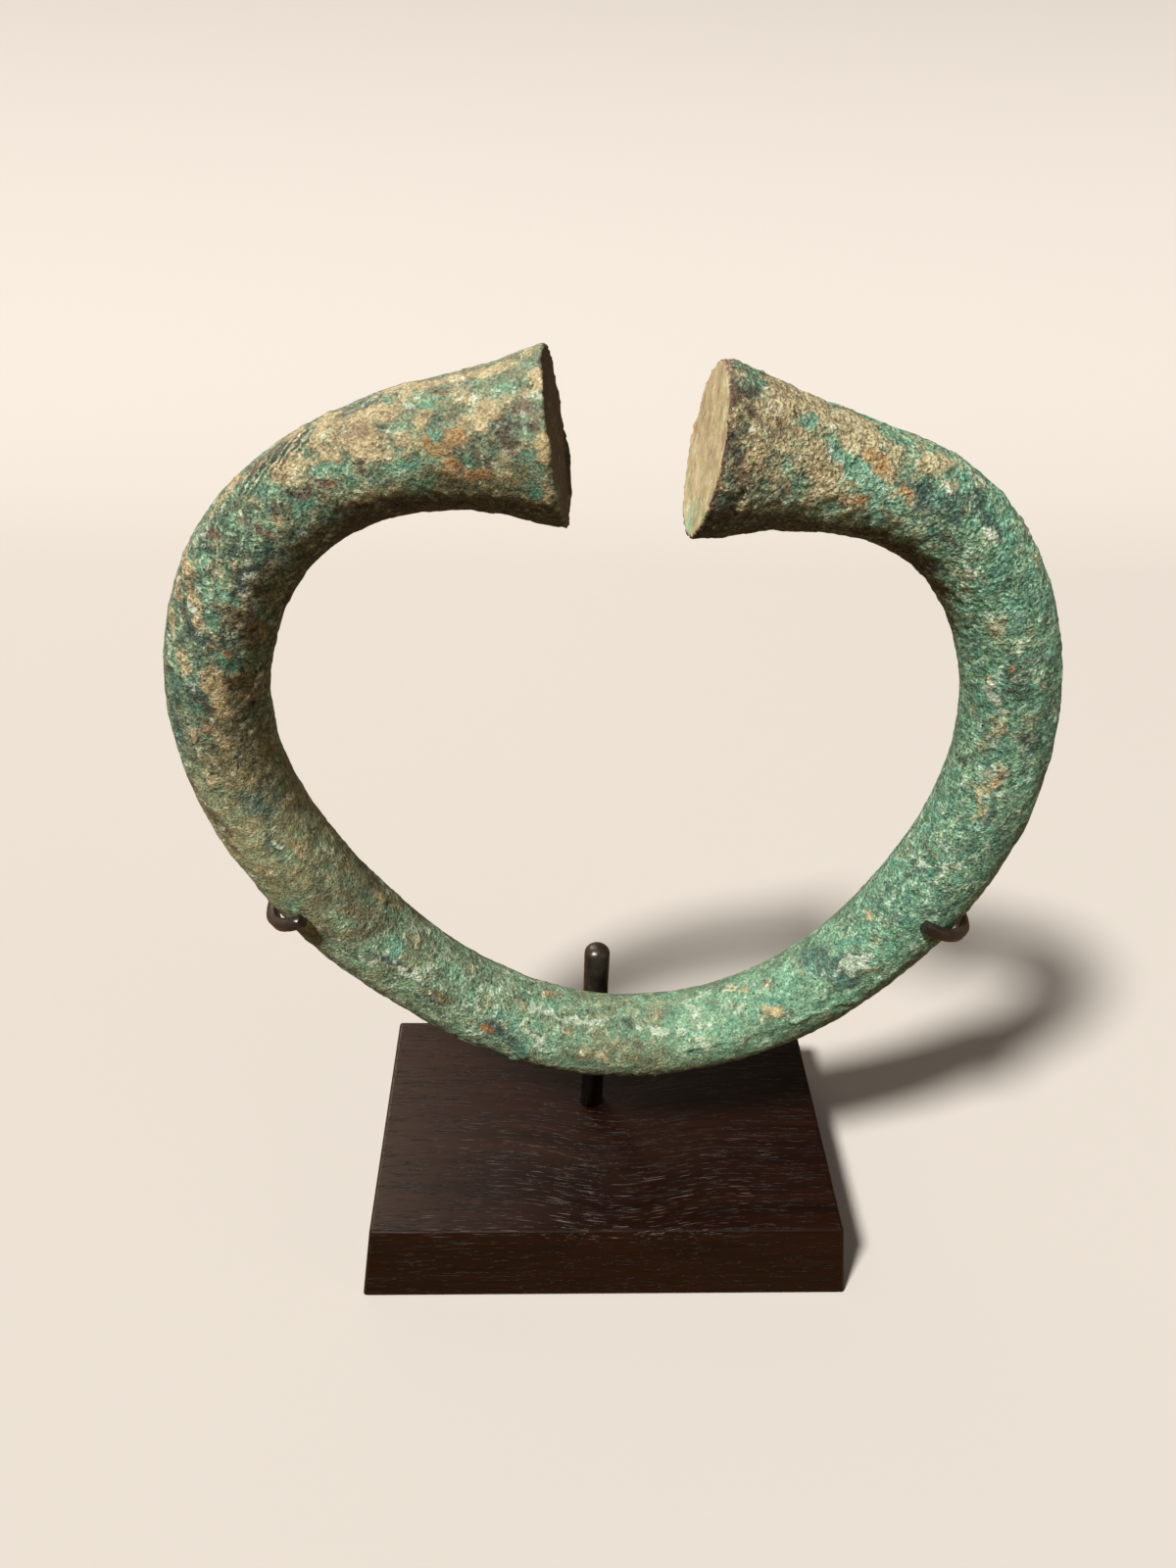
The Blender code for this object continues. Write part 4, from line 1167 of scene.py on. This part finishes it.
# Floor and light
studio = {
    "sweepFront": -2.5,
    "sweepBack": 1.1,             # where the floor has turned up into the backdrop
    "sweepRadius": 0.55,
    "sweepTop": 3.2,
    "sweepHalfWidth": 3.5,
    "sweepSteps": 24,
    "floorHeight": -0.0002,       # just under the base
    "floorColour": (0.42, 0.385, 0.355),
    "backdropColour": (0.47, 0.435, 0.41),
    # the object sees the sweep darker and warmer than the camera does; above the floor, painted light
    # on the left and painted shade on the right
    "lowGlow": (0.17, 0.10, 0.045),    # what the object gets back from below, and from the
    "highGlow": (0.46, 0.40, 0.34),    # left and the right above that
    "dimGlow": (0.05, 0.035, 0.028),
    "highFrom": (0.02, 0.45),     # heights between which low goes over into high
    "rightFrom": (-0.5, 0.5),
    "paperRoughness": 0.9,
    "paperSpecular": 0.2,
    "worldColour": (1.0, 0.93, 0.86),
    "worldStrength": 0.13,
    "sunFrom": (-1.15, -1.16, 2.20),
    "sunStrength": 7.0,
    "sunWidth": 0.15,
    "sunColour": (0.97, 0.965, 0.92),
    "lampsAim": (0.0, 0.0, 0.13),
    "lamps": {  # place, width and height, power, colour; the sheen light gives gloss alone
        "fillLight": ((0.95, -0.70, 0.70), (0.90, 0.90), 2.0, (1.0, 0.95, 0.90)),
        "sheenLight": ((-0.58, 0.95, 1.05), (0.34, 0.60), 13.0, (1.0, 0.78, 0.62)),
    },
}


def makeSweep():  # a floor that turns up into a backdrop
    halfWidth, radius, low = studio["sweepHalfWidth"], studio["sweepRadius"], studio["floorHeight"]
    bendAt = studio["sweepBack"] - radius
    bm = bmesh.new()
    front = bm.verts.new((-halfWidth, studio["sweepFront"], low))
    bend = bm.verts.new((-halfWidth, bendAt, low))
    bm.edges.new((front, bend))
    turned = bmesh.ops.spin(
        bm, geom=[bend], cent=(-halfWidth, bendAt, radius + low), axis=(1.0, 0.0, 0.0),
        angle=math.pi / 2, steps=studio["sweepSteps"], use_merge=False, use_duplicate=False,
    )
    last = [item for item in turned["geom_last"] if isinstance(item, bmesh.types.BMVert)]
    top = bmesh.ops.extrude_vert_indiv(bm, verts=last)["verts"]
    bmesh.ops.translate(bm, verts=top, vec=(0.0, 0.0, studio["sweepTop"] - radius))
    spread = bmesh.ops.extrude_edge_only(bm, edges=bm.edges[:])["geom"]
    spread = [item for item in spread if isinstance(item, bmesh.types.BMVert)]
    bmesh.ops.translate(bm, verts=spread, vec=(2 * halfWidth, 0.0, 0.0))
    mesh = bpy.data.meshes.new("sweep")
    bm.to_mesh(mesh)
    bm.free()
    mesh.shade_smooth()
    sweep = bpy.data.objects.new("sweep", mesh)
    bpy.context.scene.collection.objects.link(sweep)
    mesh.materials.append(paperMaterial())


def paperMaterial():  # pale to the camera; to the object it gives back a dim, warm light
    material, tree, shader = newMaterial("palePaper")
    path = addNode(tree, "ShaderNodeLightPath").outputs["Is Camera Ray"]
    where = addNode(tree, "ShaderNodeSeparateXYZ", Vector=objectVector(tree)).outputs
    raised = smoothRange(tree, where["Z"], *studio["highFrom"])
    # painted light on the left of the backdrop and painted shade on its right, seen in reflections and
    # bounce light
    aside = smoothRange(tree, where["X"], *studio["rightFrom"])
    high = mixColour(tree, aside, studio["highGlow"], studio["dimGlow"])
    around = mixColour(tree, raised, studio["lowGlow"], high)
    pale = mixColour(tree, raised, studio["floorColour"], studio["backdropColour"])
    plug(tree, shader.inputs["Base Color"], mixColour(tree, path, around, pale))
    shader.inputs["Roughness"].default_value = studio["paperRoughness"]
    shader.inputs["Specular IOR Level"].default_value = studio["paperSpecular"]
    return material


def makeLights():
    data = bpy.data.lights.new("keyLight", "SUN")
    data.energy, data.angle = studio["sunStrength"], studio["sunWidth"]
    data.color = studio["sunColour"]
    lamp = bpy.data.objects.new("keyLight", data)
    lamp.rotation_euler = Vector(studio["sunFrom"]).to_track_quat("Z", "Y").to_euler()
    bpy.context.scene.collection.objects.link(lamp)
    for name, (place, size, power, colour) in studio["lamps"].items():
        data = bpy.data.lights.new(name, "AREA")
        data.shape = "RECTANGLE"
        data.size, data.size_y = size
        data.energy, data.color = power, colour
        lamp = bpy.data.objects.new(name, data)
        lamp.location = place
        aim = Vector(studio["lampsAim"]) - Vector(place)
        lamp.rotation_euler = aim.to_track_quat("-Z", "Y").to_euler()
        bpy.context.scene.collection.objects.link(lamp)
        lamp.visible_diffuse = name != "sheenLight"

    world = bpy.data.worlds.new("softSurround")
    world.use_nodes = True
    background = world.node_tree.nodes["Background"]
    background.inputs["Color"].default_value = (*studio["worldColour"], 1.0)
    background.inputs["Strength"].default_value = studio["worldStrength"]
    bpy.context.scene.world = world
    bpy.context.scene.view_settings.view_transform = "Standard"


placeCamera()
makeSweep()
makeLights()
print("camera and light placed")
makeBase()
makeStand()
print("base and stand made")
makeManilla()
print("manilla made")
